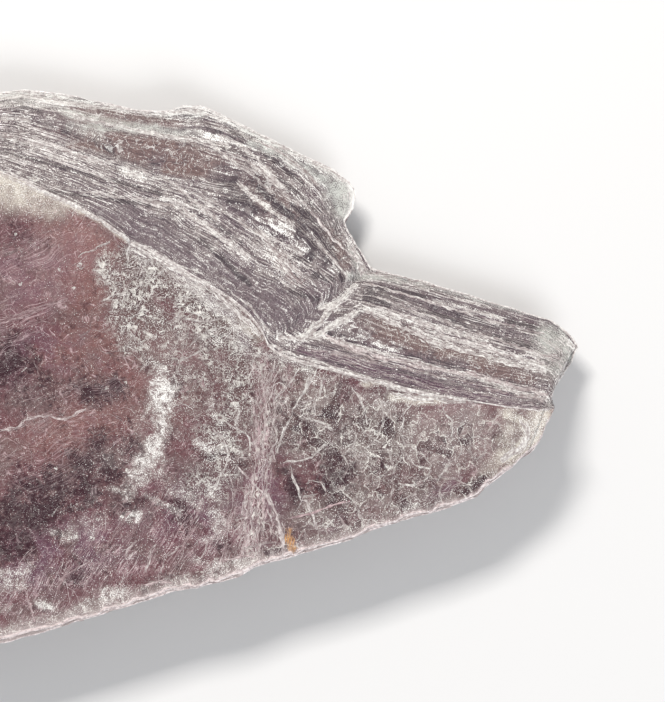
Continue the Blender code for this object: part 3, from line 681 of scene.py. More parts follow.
class Kit:                                    # makes the nodes of one material
    def __init__(self, name):
        self.material = bpy.data.materials.new(name)
        self.material.use_nodes = True
        self.tree = self.material.node_tree

    def node(self, kind, settings, sockets, output=0):
        node = self.tree.nodes.new(kind)
        for name, value in settings.items():
            setattr(node, name, value)
        self.fill(node, sockets)
        return Wire(self, node.outputs[output])

    def fill(self, node, sockets):
        for name, value in sockets.items():
            if isinstance(value, Wire):
                self.tree.links.new(value.socket, node.inputs[name])
            else:
                node.inputs[name].default_value = value

    def vector(self, operation, sockets):
        return self.node("ShaderNodeVectorMath", {"operation": operation}, sockets)

    def spots(self):                          # position on the piece, in mm
        return self.vector("SCALE", {0: self.node("ShaderNodeTexCoord", {}, {}, "Object"), "Scale": 1.0 / mm})

    def kept(self, name, output="Fac"):       # numbers kept on the mesh
        return self.node("ShaderNodeAttribute", {"attribute_name": name}, {}, output)

    def turned(self, place, degrees, *sizes):
        # the same place seen in a turned frame, squeezed so that a grain of 1 measures sizes
        angles = (0.0, 0.0, math.radians(-degrees))
        turn = self.node("ShaderNodeMapping", {}, {"Vector": place, "Rotation": angles})
        return self.vector("MULTIPLY", {0: turn, 1: (*(1.0 / size for size in sizes), 1.0)})

    def noise(self, place, size, detail, roughness=0.5, output=0):
        sockets = {"Vector": place, "Scale": 1.0 / size, "Detail": detail, "Roughness": roughness}
        return self.node("ShaderNodeTexNoise", {"noise_dimensions": "2D"}, sockets, output)

    def drawn(self, place, degrees, length, width, detail, roughness=0.5):
        # noise with lumps drawn out along one direction
        return self.noise(self.turned(place, degrees, length, width), 1.0, detail, roughness)

    def curls(self, place, size, width):      # thin winding threads, where a noise passes its middle
        return abs(self.noise(place, size, 1.0) - 0.5).ramped(width, 0.0)

    def threads(self, place, size, width):    # the same with the dark rings that set them off
        middle = abs(self.noise(place, size, 1.0) - 0.5)
        return middle.ramped(width, width * 0.3), middle.ramped(width * 3.4, width * 1.2)

    def streaks(self, place, degrees, length, width, low, high):
        # strokes along one direction, with their own ends
        return self.drawn(place, degrees, length, width, 2.0, 0.55).ramped(low, high)

    def bent(self, place, size, reach):       # the place, pushed about
        push = self.noise(place, size, 1.0, 0.5, "Color")
        return self.vector("MULTIPLY_ADD", {0: push, 1: (reach, reach, 0.0), 2: place})

    def seams(self, place, size, width):      # borders of cells, and a tone for each cell
        sockets = {"Vector": place, "Scale": 1.0 / size}
        settings = {"feature": "DISTANCE_TO_EDGE", "voronoi_dimensions": "2D"}
        lines = self.node("ShaderNodeTexVoronoi", settings, sockets).ramped(width / size, 0.25 * width / size)
        cells = self.node("ShaderNodeTexVoronoi", {"voronoi_dimensions": "2D"}, sockets, "Color")
        return lines, self.node("ShaderNodeSeparateColor", {}, {0: cells})

    def blend(self, where, under, over):      # one finish over another, each a name in mica or a wire
        colours = [value if isinstance(value, Wire) else (*mica[value], 1.0) for value in (under, over)]
        return self.node("ShaderNodeMix", {"data_type": "RGBA", "clamp_factor": True},
                         {0: where, 6: colours[0], 7: colours[1]}, 2)

    def coated(self, colour, *coats):         # (finish, where), laid over a colour one after another
        for finish, where in coats:
            colour = self.blend(where, colour, finish)
        return colour

    def finish(self, colour, gloss, height=None, depth=0.0):
        sockets = {"Base Color": colour, **{name: mica[value] for name, value in gloss.items()}}
        if height:
            relief = {"Height": height, "Distance": depth * mm, "Strength": mica["relief"]}
            sockets["Normal"] = self.node("ShaderNodeBump", {}, relief)
        self.fill(self.tree.nodes["Principled BSDF"], sockets)
        return self.material


mica = {
    "mauve": (0.138, 0.058, 0.065), "grey": (0.138, 0.080, 0.080), "brown": (0.190, 0.080, 0.068),
    "purple": (0.115, 0.048, 0.075), "dark": (0.032, 0.010, 0.016), "glow": (0.330, 0.197, 0.198),
    "haze": (0.430, 0.380, 0.355), "cream": (0.620, 0.565, 0.490), "thread": (0.800, 0.770, 0.710),
    "edge": (0.860, 0.840, 0.805), "pink": (0.650, 0.485, 0.500), "flank": (0.190, 0.148, 0.152),
    "bare": (0.190, 0.118, 0.108), "violet": (0.160, 0.116, 0.130), "band": (0.105, 0.048, 0.078),
    "gap": (0.052, 0.036, 0.044), "lobe": (0.540, 0.545, 0.505), "edge_light": (0.760, 0.640, 0.620),
    "rust": (0.560, 0.290, 0.110), "stone": (0.128, 0.092, 0.084), "lilac": (0.400, 0.300, 0.335),
    "faceRoughness": 0.34, "flankRoughness": 0.5, "fibreRoughness": 0.30, "shine": 0.3, "refraction": 1.56,
    "relief": 0.8,
}


def depths(kit, spots, patches):              # dark depths and tints in the body of the face
    mark = kit.kept
    depth = kit.noise(spots, 3.4, 4.0, 0.65)
    lit = (patches * 2.4 + depth * 1.6 - 2.15).clamped()
    sunk = ((depth - 0.5) * 2.2 + (0.5 - patches) * 1.8 + mark("dark")).ramped(0.0, 1.02)
    return kit.coated(
        kit.blend(kit.noise(spots, 6.0, 1.0).ramped(0.38, 0.62), "mauve", "grey"),
        ("brown", mark("brown") * depth.ramped(0.25, 0.55)),
        ("purple", mark("purple") * depth.ramped(0.65, 0.38)),
        ("stone", mark("crackle").atLeast(mark("cells")) * 0.8),
        ("glow", (lit * 0.6).atLeast(mark("brown") * 0.22)),
        ("dark", sunk * 0.95),
    )


def faceMaterial():
    kit = Kit("mica_face")
    spots, mark = kit.spots(), kit.kept
    pushed = kit.bent(spots, 1.2, 1.1)
    patches, veil = kit.noise(pushed, 0.8, 3.0, 0.7), kit.noise(pushed, 2.2, 4.0, 0.7)
    dust = kit.noise(spots, 0.16, 1.0, 0.6)
    crackle, cells, feather = mark("crackle"), mark("cells"), mark("feather")
    fan, dark, cream = mark("fans"), mark("dark"), mark("cream")
    rough = (crackle + cells * 0.8).clamped()
    mist = kit.blend(rough, "glow", "haze")
    haze = (veil * 1.9 + dust * 0.7 + rough * 0.1 - 1.56).ramped(0.0, 0.8)

    # threads and cells of the crackle
    broken = (veil * 4.0 + patches * 1.6 - 2.35).clamped() * (crackle * 0.95 + cells * 0.22 + 0.06).clamped()
    web, rings = kit.threads(pushed, 1.5, 0.050)
    small, smallRings = kit.threads(kit.bent(spots, 0.5, 0.8), 0.85, 0.060)
    seams, tones = kit.seams(kit.bent(spots, 1.5, 1.6), 2.8, 0.13)
    little, littleTones = kit.seams(kit.bent(spots, 0.8, 0.7), 1.3, 0.10)
    patch = (tones - 0.5) * cells * 0.7 + (littleTones - 0.5) * cells * 0.5
    net = (seams * veil.ramped(0.42, 0.50)).atLeast(little * veil.ramped(0.52, 0.62) * 0.6) * cells

    # strokes: fans along the front, the column in the middle, slant and arcs on the left
    clumps = kit.noise(spots, 1.9, 2.0, 0.6).ramped(0.42, 0.60)
    fans = kit.streaks(kit.bent(spots, 4.0, 1.2), 57, 9.0, 0.26, 0.50, 0.72) * fan * clumps * 0.6
    fine = kit.streaks(kit.bent(spots, 5.0, 1.6), 60, 5.0, 0.12, 0.55, 0.66) * fan * (0.25 + clumps * 0.6)
    column = kit.streaks(pushed, 87, 5.0, 0.14, 0.52, 0.60) * mark("column") * (0.45 + clumps * 0.55)
    slant = kit.streaks(kit.bent(spots, 6.0, 3.0), 27, 6.0, 0.13, 0.56, 0.66) * (mark("slant") * 0.8 + 0.05)
    arcs = kit.curls(kit.turned(kit.bent(spots, 4.0, 6.0), 24, 3.0, 1.1), 1.0, 0.022)
    arcs = arcs * (1.0 - rough) * (0.60 - dark * 0.4) * clumps
    twigs = kit.curls(kit.turned(pushed, 87, 2.6, 0.55), 1.0, 0.060) * mark("column")

    # white feather, cream edge (along the left rim partly a painted highlight), silky rim, painted glints and
    # the rust stain
    fluff = (dust * 2.0 + patches * 1.8 + feather * 1.7 - 3.25).ramped(0.0, 0.8)
    ribbon = kit.drawn(kit.kept("flow", "Vector"), 0, 4.0, 0.14, 2.0, 0.6)
    # painted glints: white flecks standing for tiny specular highlights
    painted_glints = dust * 2.6 + patches + (rough + cream + feather + fan * 0.5) * 0.30 - 2.35
    stain = (mark("rust") * 1.5 + patches * 1.4 + dust * 1.2 - 2.05).ramped(0.0, 0.5)
    colour = kit.coated(
        depths(kit, spots, patches),
        (mist, haze * (0.56 + crackle * 0.15 - dark * 0.5)),
        ("dark", dust.ramped(0.48, 0.30) * (0.28 + rough * 0.35)),
        (mist, mark("mist") * (veil * 1.2 + dust * 0.6 - 0.45)),
        ("dark", rings.atLeast(smallRings) * broken * 0.6),
        ("thread", web.atLeast(small * 0.9) * broken),
        ("haze", patch * 0.7),
        ("dark", patch * -2.0),
        ("thread", net * (dust * 2.4 + patches * 0.8 - 0.85)),
        ("pink", fans.atLeast(fine).atLeast(column).atLeast(slant * 0.85).atLeast(arcs) * 0.9),
        ("thread", twigs * veil.ramped(0.40, 0.52) * 0.9),
        ("haze", feather * feather * (patches * 1.6 + veil - 0.75)),
        ("edge", fluff),
        # cream colour of the stone; along the left rim partly a painted highlight where the surface curves
        # toward the light
        ("cream", cream * (veil * 1.5 + dust * 1.4 - 0.65)),
        ("violet", mark("rimBand") * 0.8),
        ("thread", mark("rimBand") * (ribbon * 4.0 + dust * 1.6 - 2.75)),
        ("edge", painted_glints.ramped(0.0, 0.25) * 0.9),
        # painted glow of light through the thin front edge
        ("edge_light", mark("edge_light") * (0.6 + patches)),
        ("rust", stain * (0.2 + kit.streaks(spots, 80, 1.2, 0.13, 0.42, 0.60) * 0.75)),
    )
    gloss = {"Roughness": "faceRoughness", "Specular IOR Level": "shine"}
    return kit.finish(colour, gloss, patches + web * 0.3, 0.20)


def flankMaterial():
    kit = Kit("mica_flank")
    spots, flow, mark = kit.spots(), kit.kept("flow", "Vector"), kit.kept
    quiet, grainy, flat, bright = mark("quiet"), mark("grainy"), mark("bare"), mark("bright")
    band, shade = mark("band"), mark("shade")
    hushed = shade.atLeast(band)
    calm = (1.0 - quiet * 0.5) * (1.0 - flat * 0.6)
    rows = kit.drawn(flow, 0, 20.0, 0.40, 2.0, 0.6).ramped(0.40, 0.58)
    fine = kit.drawn(flow, 0, 6.0, 0.17, 1.0).ramped(0.42, 0.58)
    flecks = kit.drawn(flow, 0, 0.9, 0.12, 1.0, 0.6)
    grit = kit.noise(spots, 0.17, 1.0, 0.6)
    clumps = kit.noise(spots, 1.6, 3.0, 0.65)
    gaps = (1.0 - rows * 0.5) * (1.0 - fine * 0.8) * flecks.ramped(0.64, 0.38)
    sunk = (shade * 2.0 + clumps.ramped(0.50, 0.36) * 0.5 - grit * 0.7).clamped()
    # the bright bands add a painted highlight to the haze and the white
    haze = (rows * 0.45 + fine * 0.25 + clumps * 1.5 - 1.14) * calm + grainy * 0.15 + bright * 0.3
    white = grit * 2.4 + flecks * 1.7 + fine * 0.5 + rows * 0.35 + clumps * 0.8 + grainy * 0.25 \
        + bright * 0.65 - hushed * 0.35 - 3.40
    scratches = kit.curls(kit.bent(spots, 1.5, 2.0), 1.2, 0.035) * (0.12 + flat * 0.5 + quiet * 0.1)
    colour = kit.coated(
        kit.blend(kit.noise(spots, 5.0, 1.0).ramped(0.38, 0.62), "flank", "violet"),
        ("violet", quiet * 0.6),
        ("bare", flat),
        ("band", band),
        ("gap", gaps * (calm * 0.85 + 0.15)),
        ("gap", sunk * (1.0 - bright)),
        ("gap", grit.ramped(0.47, 0.32) * (calm * 0.5 + 0.35)),
        ("haze", haze * (1.0 - hushed * 0.8)),
        ("edge", white.ramped(0.0, 0.26) * (calm * 0.6 + 0.4)),
        ("edge", scratches * (grit * 2.4 - 0.4)),
        ("lobe", mark("pale") * (clumps * 1.6 + grit * 2.4 - 1.2)),
        # risers painted lighter: a painted highlight where the sheet steps face the light
        ("haze", mark("riser") * calm * (1.0 - quiet * 0.7) * (grit * 1.6 - 0.45)),
        # painted highlight on the back edge, painted glow on the front edge
        ("edge", mark("edge_light").ramped(0.5, 1.0) * (0.5 + clumps)),
    )
    gloss = {"Roughness": "flankRoughness", "Specular IOR Level": "shine"}
    return kit.finish(colour, gloss, rows * 0.4 + grit * 0.8, 0.12)


def sideMaterial():                           # the torn sheet edges all round
    kit = Kit("mica_sides")
    flow = kit.kept("flow", "Vector")
    layered = kit.drawn(flow, 0, 9.0, 0.30, 3.0, 0.6).ramped(0.34, 0.66)
    fine = kit.drawn(flow, 0, 4.0, 0.09, 2.0).ramped(0.38, 0.62)
    colour = kit.coated(
        kit.blend(kit.noise(flow, 5.0, 2.0).ramped(0.35, 0.65), "violet", "bare"),
        ("lilac", layered * 0.75),
        ("gap", (1.0 - fine) * (1.0 - layered * 0.6) * 0.8),
        ("edge", fine * layered * 0.6),
        ("pink", kit.drawn(flow, 0, 0.6, 0.2, 2.0, 0.7).ramped(0.58, 0.70) * 0.7),
        # painted glow of light through the thin front edge, painted highlight on the back edge
        ("edge_light", kit.kept("edge_light") * 0.9),
    )
    gloss = {"Roughness": "faceRoughness", "IOR": "refraction"}
    return kit.finish(colour, gloss, layered + fine * 0.5, 0.15)


def fibreMaterial():
    kit = Kit("mica_slivers")
    worn = kit.noise(kit.spots(), 0.5, 3.0, 0.6).ramped(0.3, 0.7)
    pale = kit.blend(kit.kept("pink"), "edge", "pink")
    colour = kit.blend(kit.kept("tone") * (0.55 + worn * 0.6), "mauve", pale)
    return kit.finish(colour, {"Roughness": "fibreRoughness", "IOR": "refraction"})


def makeBook():
    s = stationList()
    grid, firsts, facts = bookGrid(s)
    paint = paintBook(grid)
    grid[..., :2] += planShift
    rows, size = grid.shape[:2]
    points = grid.reshape(-1, 3)
    index = np.arange(rows * size).reshape(rows, size)
    after = np.roll(index, -1, axis=1)
    faces = np.stack([index[:-1], after[:-1], after[1:], index[1:]], axis=-1).reshape(-1, 4).tolist()
    print("book:", len(points), "points,", 2 * len(faces), "triangles and its ends")
    for ring, flip in ((index[0], True), (index[-1], False)):
        faces += endFaces(ring.tolist(), points[:, 2], firsts["face"] - 1, flip)
    mesh = bpy.data.meshes.new("crystal_book")
    mesh.from_pydata((points * mm).tolist(), [], faces)
    caps = len(mesh.polygons) - (rows - 1) * size
    keepNumbers(mesh, "riser", np.r_[np.tile(facts["riser"], rows - 1), np.zeros(caps)], domain="FACE")
    keepNumbers(mesh, "flow", facts["flow"], "FLOAT_VECTOR")
    for name, layer in {"edge_light": facts["edge_light"], **paint}.items():
        keepNumbers(mesh, name, layer)
    looks = np.r_[np.tile(facts["looks"], rows - 1), np.full(caps, 2)]
    mesh.polygons.foreach_set("material_index", looks.astype(np.int32))
    for look in (faceMaterial(), flankMaterial(), sideMaterial()):
        mesh.materials.append(look)
    mesh.set_sharp_from_angle(angle=math.radians(book["sharpAngle"]))
    return linked("crystal_book", mesh), s, grid, firsts


crystalBook, stations, bookPoints, firstColumns = makeBook()
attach(crystalBook, "root")
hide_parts("lepidolite_crystal")


# fibres, crack lips and sheet splinters: closed three-sided slivers that lie on the book

fibres = {
    # steps of a stroke, then rows: mark that they grow in, how many, length in mm, width in mm,
    # direction and its spread in degrees, curl in degrees for each mm, tone, share of pink, clustering
    "curly_fibres": (
        8,
        ("crackle", 380, (1.6, 5.5), (0.05, 0.11), 40, 240, 75, (0.7, 1.0), 0.0, 2.0),
        ("cells", 240, (0.4, 2.2), (0.05, 0.11), 60, 260, 30, (0.7, 1.0), 0.1, 2.4),
        ("rimBand", 280, (0.6, 3.0), (0.07, 0.16), -36, 30, 14, (0.7, 1.0), 0.0, 0.8),
    ),
    "white_grains": (
        3,
        ("crackle", 340, (0.12, 0.35), (0.09, 0.20), 40, 200, 50, (0.8, 1.0), 0.0, 2.2),
        ("cells", 420, (0.12, 0.35), (0.09, 0.18), 60, 220, 45, (0.8, 1.0), 0.1, 2.6),
        ("feather", 1100, (0.15, 0.6), (0.08, 0.18), 50, 100, 40, (0.6, 1.0), 0.0, 2.0),
        ("cream", 500, (0.2, 0.9), (0.10, 0.26), 20, 160, 40, (0.8, 1.0), 0.0, 0.9),
    ),
    "front_fibres": (
        5,
        ("fans", 420, (1.0, 6.0), (0.06, 0.13), 56, 14, 3, (0.5, 1.0), 0.75, 1.8),
        ("fans", 200, (0.4, 1.8), (0.10, 0.20), 60, 26, 10, (0.8, 1.0), 0.3, 2.0),
        ("column", 400, (0.7, 3.6), (0.06, 0.15), 87, 18, 16, (0.6, 1.0), 0.2, 1.5),
        ("slant", 90, (1.5, 6.5), (0.06, 0.11), 27, 16, 8, (0.4, 0.9), 0.8, 0.8),
        ("brown", 170, (0.8, 3.5), (0.06, 0.11), 35, 160, 40, (0.4, 0.8), 0.4, 1.4),
        ("dark", 200, (0.3, 1.6), (0.06, 0.11), 45, 160, 50, (0.4, 0.8), 0.4, 1.6),
    ),
    "crack_walks": (
        10,
        ("cells", 36, (1.5, 4.0), (0.08, 0.14), 70, 300, 26, (0.6, 1.0), 0.1, 0.6),
        ("column", 30, (2.0, 5.0), (0.12, 0.20), 80, 60, 60, (0.8, 1.0), 0.2, 0.3),
        ("fans", 30, (2.0, 5.0), (0.10, 0.20), 60, 40, 18, (0.7, 1.0), 0.5, 0.3),
        ("crackle", 50, (2.0, 4.0), (0.12, 0.20), 60, 300, 70, (0.8, 1.0), 0.0, 0.3),
        ("brown", 60, (3.0, 9.0), (0.07, 0.14), 30, 120, 30, (0.5, 0.8), 0.5, 0.3),
    ),
}


class Drape:                                  # finds the surface of the book from above
    def __init__(self, piece):
        self.tree = BVHTree.FromObject(piece, bpy.context.evaluated_depsgraph_get())

    def height(self, x, y):
        hit = self.tree.ray_cast(Vector((x * mm, y * mm, 0.1)), Vector((0.0, 0.0, -1.0)))[0]
        return hit.z / mm if hit else -1.0

    def lay(self, paths, steepest=0.35, lowest=3.0):
        # paths in plan to paths on the surface, without those that leave the top or cross a step
        tops = np.array([[self.height(x, y) for x, y in path] for path in paths + planShift])
        fall = np.ptp(tops, axis=1) / np.maximum(np.hypot(*(paths[:, -1] - paths[:, 0]).T), 0.5)
        keep = (tops.min(axis=1) > lowest) & (fall < steepest)
        return np.concatenate([paths + planShift, tops[..., None]], axis=-1)[keep], keep


def unit(vectors):
    return vectors / np.maximum(np.linalg.norm(vectors, axis=-1, keepdims=True), 1e-9)


def slivers(paths, widths, crests, outward=(0.0, 0.0, 1.0), sink=0.04):
    # a ring of three points at each step: left foot, crest, right foot
    count, steps = paths.shape[:2]
    outward = np.broadcast_to(np.asarray(outward, dtype=float), paths.shape)
    side = unit(np.cross(outward, unit(np.gradient(paths, axis=1))))
    taper = (np.sin(np.pi * np.linspace(0.05, 0.95, steps)) ** 0.6)[None, :, None]
    half = 0.5 * widths[:, None, None] * taper
    foot = paths - sink * outward
    lean = 0.5 * chance(np.arange(count), widths * 9.0)[:, None, None]
    crest = paths + crests[:, None, None] * taper * outward + side * half * lean
    return np.stack([foot + side * half, crest, foot - side * half], axis=2)


def sliverFaces(count, steps):
    size = 3 * steps
    base = []
    for step in range(steps - 1):
        for corner in range(3):
            a, b = 3 * step + corner, 3 * step + (corner + 1) % 3
            base += [(a, b, b + 3), (a, b + 3, a + 3)]
    base += [(2, 1, 0), (size - 3, size - 2, size - 1)]
    return (np.array(base)[None] + size * np.arange(count)[:, None, None]).reshape(-1, 3)


def makeSlivers(name, batches):               # batches of (rings, tones, pinks), joined into one piece
    points, faces, tones, pinks, start = [], [], [], [], 0
    for rings, tone, pink in batches:
        count, steps = rings.shape[:2]
        points.append(rings.reshape(-1, 3))
        faces.append(sliverFaces(count, steps) + start)
        tones.append(np.repeat(tone, 3 * steps))
        pinks.append(np.repeat(pink, 3 * steps))
        start += 3 * steps * count
    points, faces = np.concatenate(points), np.concatenate(faces)
    points[:, 2] = np.maximum(points[:, 2], 0.02)          # nothing reaches under the base
    mesh = bpy.data.meshes.new(name)
    mesh.from_pydata((points * mm).tolist(), [], faces.tolist())
    keepNumbers(mesh, "tone", np.concatenate(tones))
    keepNumbers(mesh, "pink", np.concatenate(pinks))
    mesh.materials.append(fibreLook)
    piece = linked(name, mesh)
    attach(piece, "root")
    print(name + ":", len(faces), "triangles")


def bandSpots(name):                          # the bands of a mark as long thin ellipses
    for half, strength, *line in strips.get(name, ()):
        for (startX, startY), (endX, endY) in zip(line, line[1:]):
            turn = math.degrees(math.atan2(endY - startY, endX - startX))
            reach = 0.5 * math.hypot(endX - startX, endY - startY)
            yield (startX + endX) / 2, (startY + endY) / 2, reach, half, turn, strength


def sown(dice, name, count, clustering):      # places inside a mark, more of them in clumps
    spots = np.array([*marks.get(name, ()), *bandSpots(name)])
    weights = spots[:, 2] * spots[:, 3] * spots[:, 5]
    many = 3 * count
    chosen = spots[dice.choice(len(spots), many, p=weights / weights.sum())]
    turn, out = np.radians(chosen[:, 4]), np.sqrt(dice.random(many)) * (1.0 + 0.7 * dice.random(many))
    way = dice.random(many) * 2.0 * math.pi
    u, v = chosen[:, 2] * out * np.cos(way), chosen[:, 3] * out * np.sin(way)
    x = chosen[:, 0] + u * np.cos(turn) - v * np.sin(turn)
    y = chosen[:, 1] + u * np.sin(turn) + v * np.cos(turn)
    thick = 1.2 * clouds(x / 1.4, y / 1.4, 71) + 1.1 * clouds(x / 3.4, y / 3.4, 75)
    best = np.argsort(dice.random(many) - clustering * thick)[:count]
    return np.stack([x, y], axis=-1)[best]


def grown(dice, starts, lengths, headings, curl, steps):   # curved strokes through the starts
    stride = lengths[:, None] / (steps - 1)
    bend = dice.normal(0.0, 1.0, (len(starts), 1)) * 0.7 + dice.normal(0.0, 0.9, (len(starts), steps - 1))
    heading = np.radians(headings)[:, None] + np.radians(curl) * np.cumsum(bend * stride, axis=1)
    moves = np.stack([np.cos(heading), np.sin(heading)], axis=-1) * stride[..., None]
    path = np.concatenate([np.zeros((len(starts), 1, 2)), np.cumsum(moves, axis=1)], axis=1)
    return starts[:, None] + path - path[:, steps // 2][:, None]


def fibreBatch(dice, row, steps):
    name, count, length, width, direction, spread, curl, tone, pink, clustering = row
    starts = sown(dice, name, count, clustering)
    lengths = length[0] + (length[1] - length[0]) * dice.random(count) ** 1.8
    lie = clouds(starts[:, 0] / 2.4, starts[:, 1] / 2.4, 81)
    headings = direction + spread * lie + (6.0 + 0.10 * spread) * dice.uniform(-1.0, 1.0, count)
    paths, keep = drape.lay(grown(dice, starts, lengths, headings, curl, steps))
    widths = (width[0] + (width[1] - width[0]) * dice.random(count) ** 2)[keep]
    rings = slivers(paths, widths, widths * dice.uniform(0.15, 0.4, len(widths)))
    return rings, dice.uniform(*tone, count)[keep], np.full(len(widths), pink)


# bundles of fibres through points in mm: (points, width, spread, slivers for each mm, tone, share of pink)

bundles = (
    (((-21.6, 7.3), (-17.3, 9), (-12.4, 10.6)), 0.1, 0.35, 5, 0.8, 0.9),
    (((-21.6, 10.3), (-19.1, 11.7)), 0.09, 0.25, 4, 0.7, 0.9),
    (((36, -20), (40, -18), (44, -15.6)), 0.16, 0.3, 2.4, 0.75, 0.2),
    (((52.6, -6.1), (53.6, -7.4), (53.9, -8.6), (53.4, -9.8), (52.6, -10.6), (50.1, -12.3)), 0.26, 0.3, 14,
     1, 0),
    (((34, -2.2), (37, -3.4), (40.4, -3.9)), 0.3, 0.25, 4, 0.95, 0),
    (((-13.6, -30.6), (-8.6, -24), (-3.9, -18.9)), 0.14, 0.55, 4, 0.7, 0.9),
    (((-5.6, -26), (-1.6, -20.4), (1.6, -14.8)), 0.12, 0.35, 3, 0.6, 0.8),
    (((4, -25.4), (7.4, -19.6)), 0.12, 0.4, 3.6, 0.7, 0.7),
    (((9.6, -30.2), (11.2, -22), (12.4, -15)), 0.12, 0.5, 4, 0.9, 0.5),
    (((15.6, -28.6), (15.2, -20), (15.6, -12), (15.4, -2)), 0.12, 0.7, 4, 0.9, 0.4),
    (((17.8, -28.4), (18.2, -22), (16.6, -17)), 0.14, 0.6, 4, 1, 0.2),
)

# single cracks: (width, tone, share of pink, points)

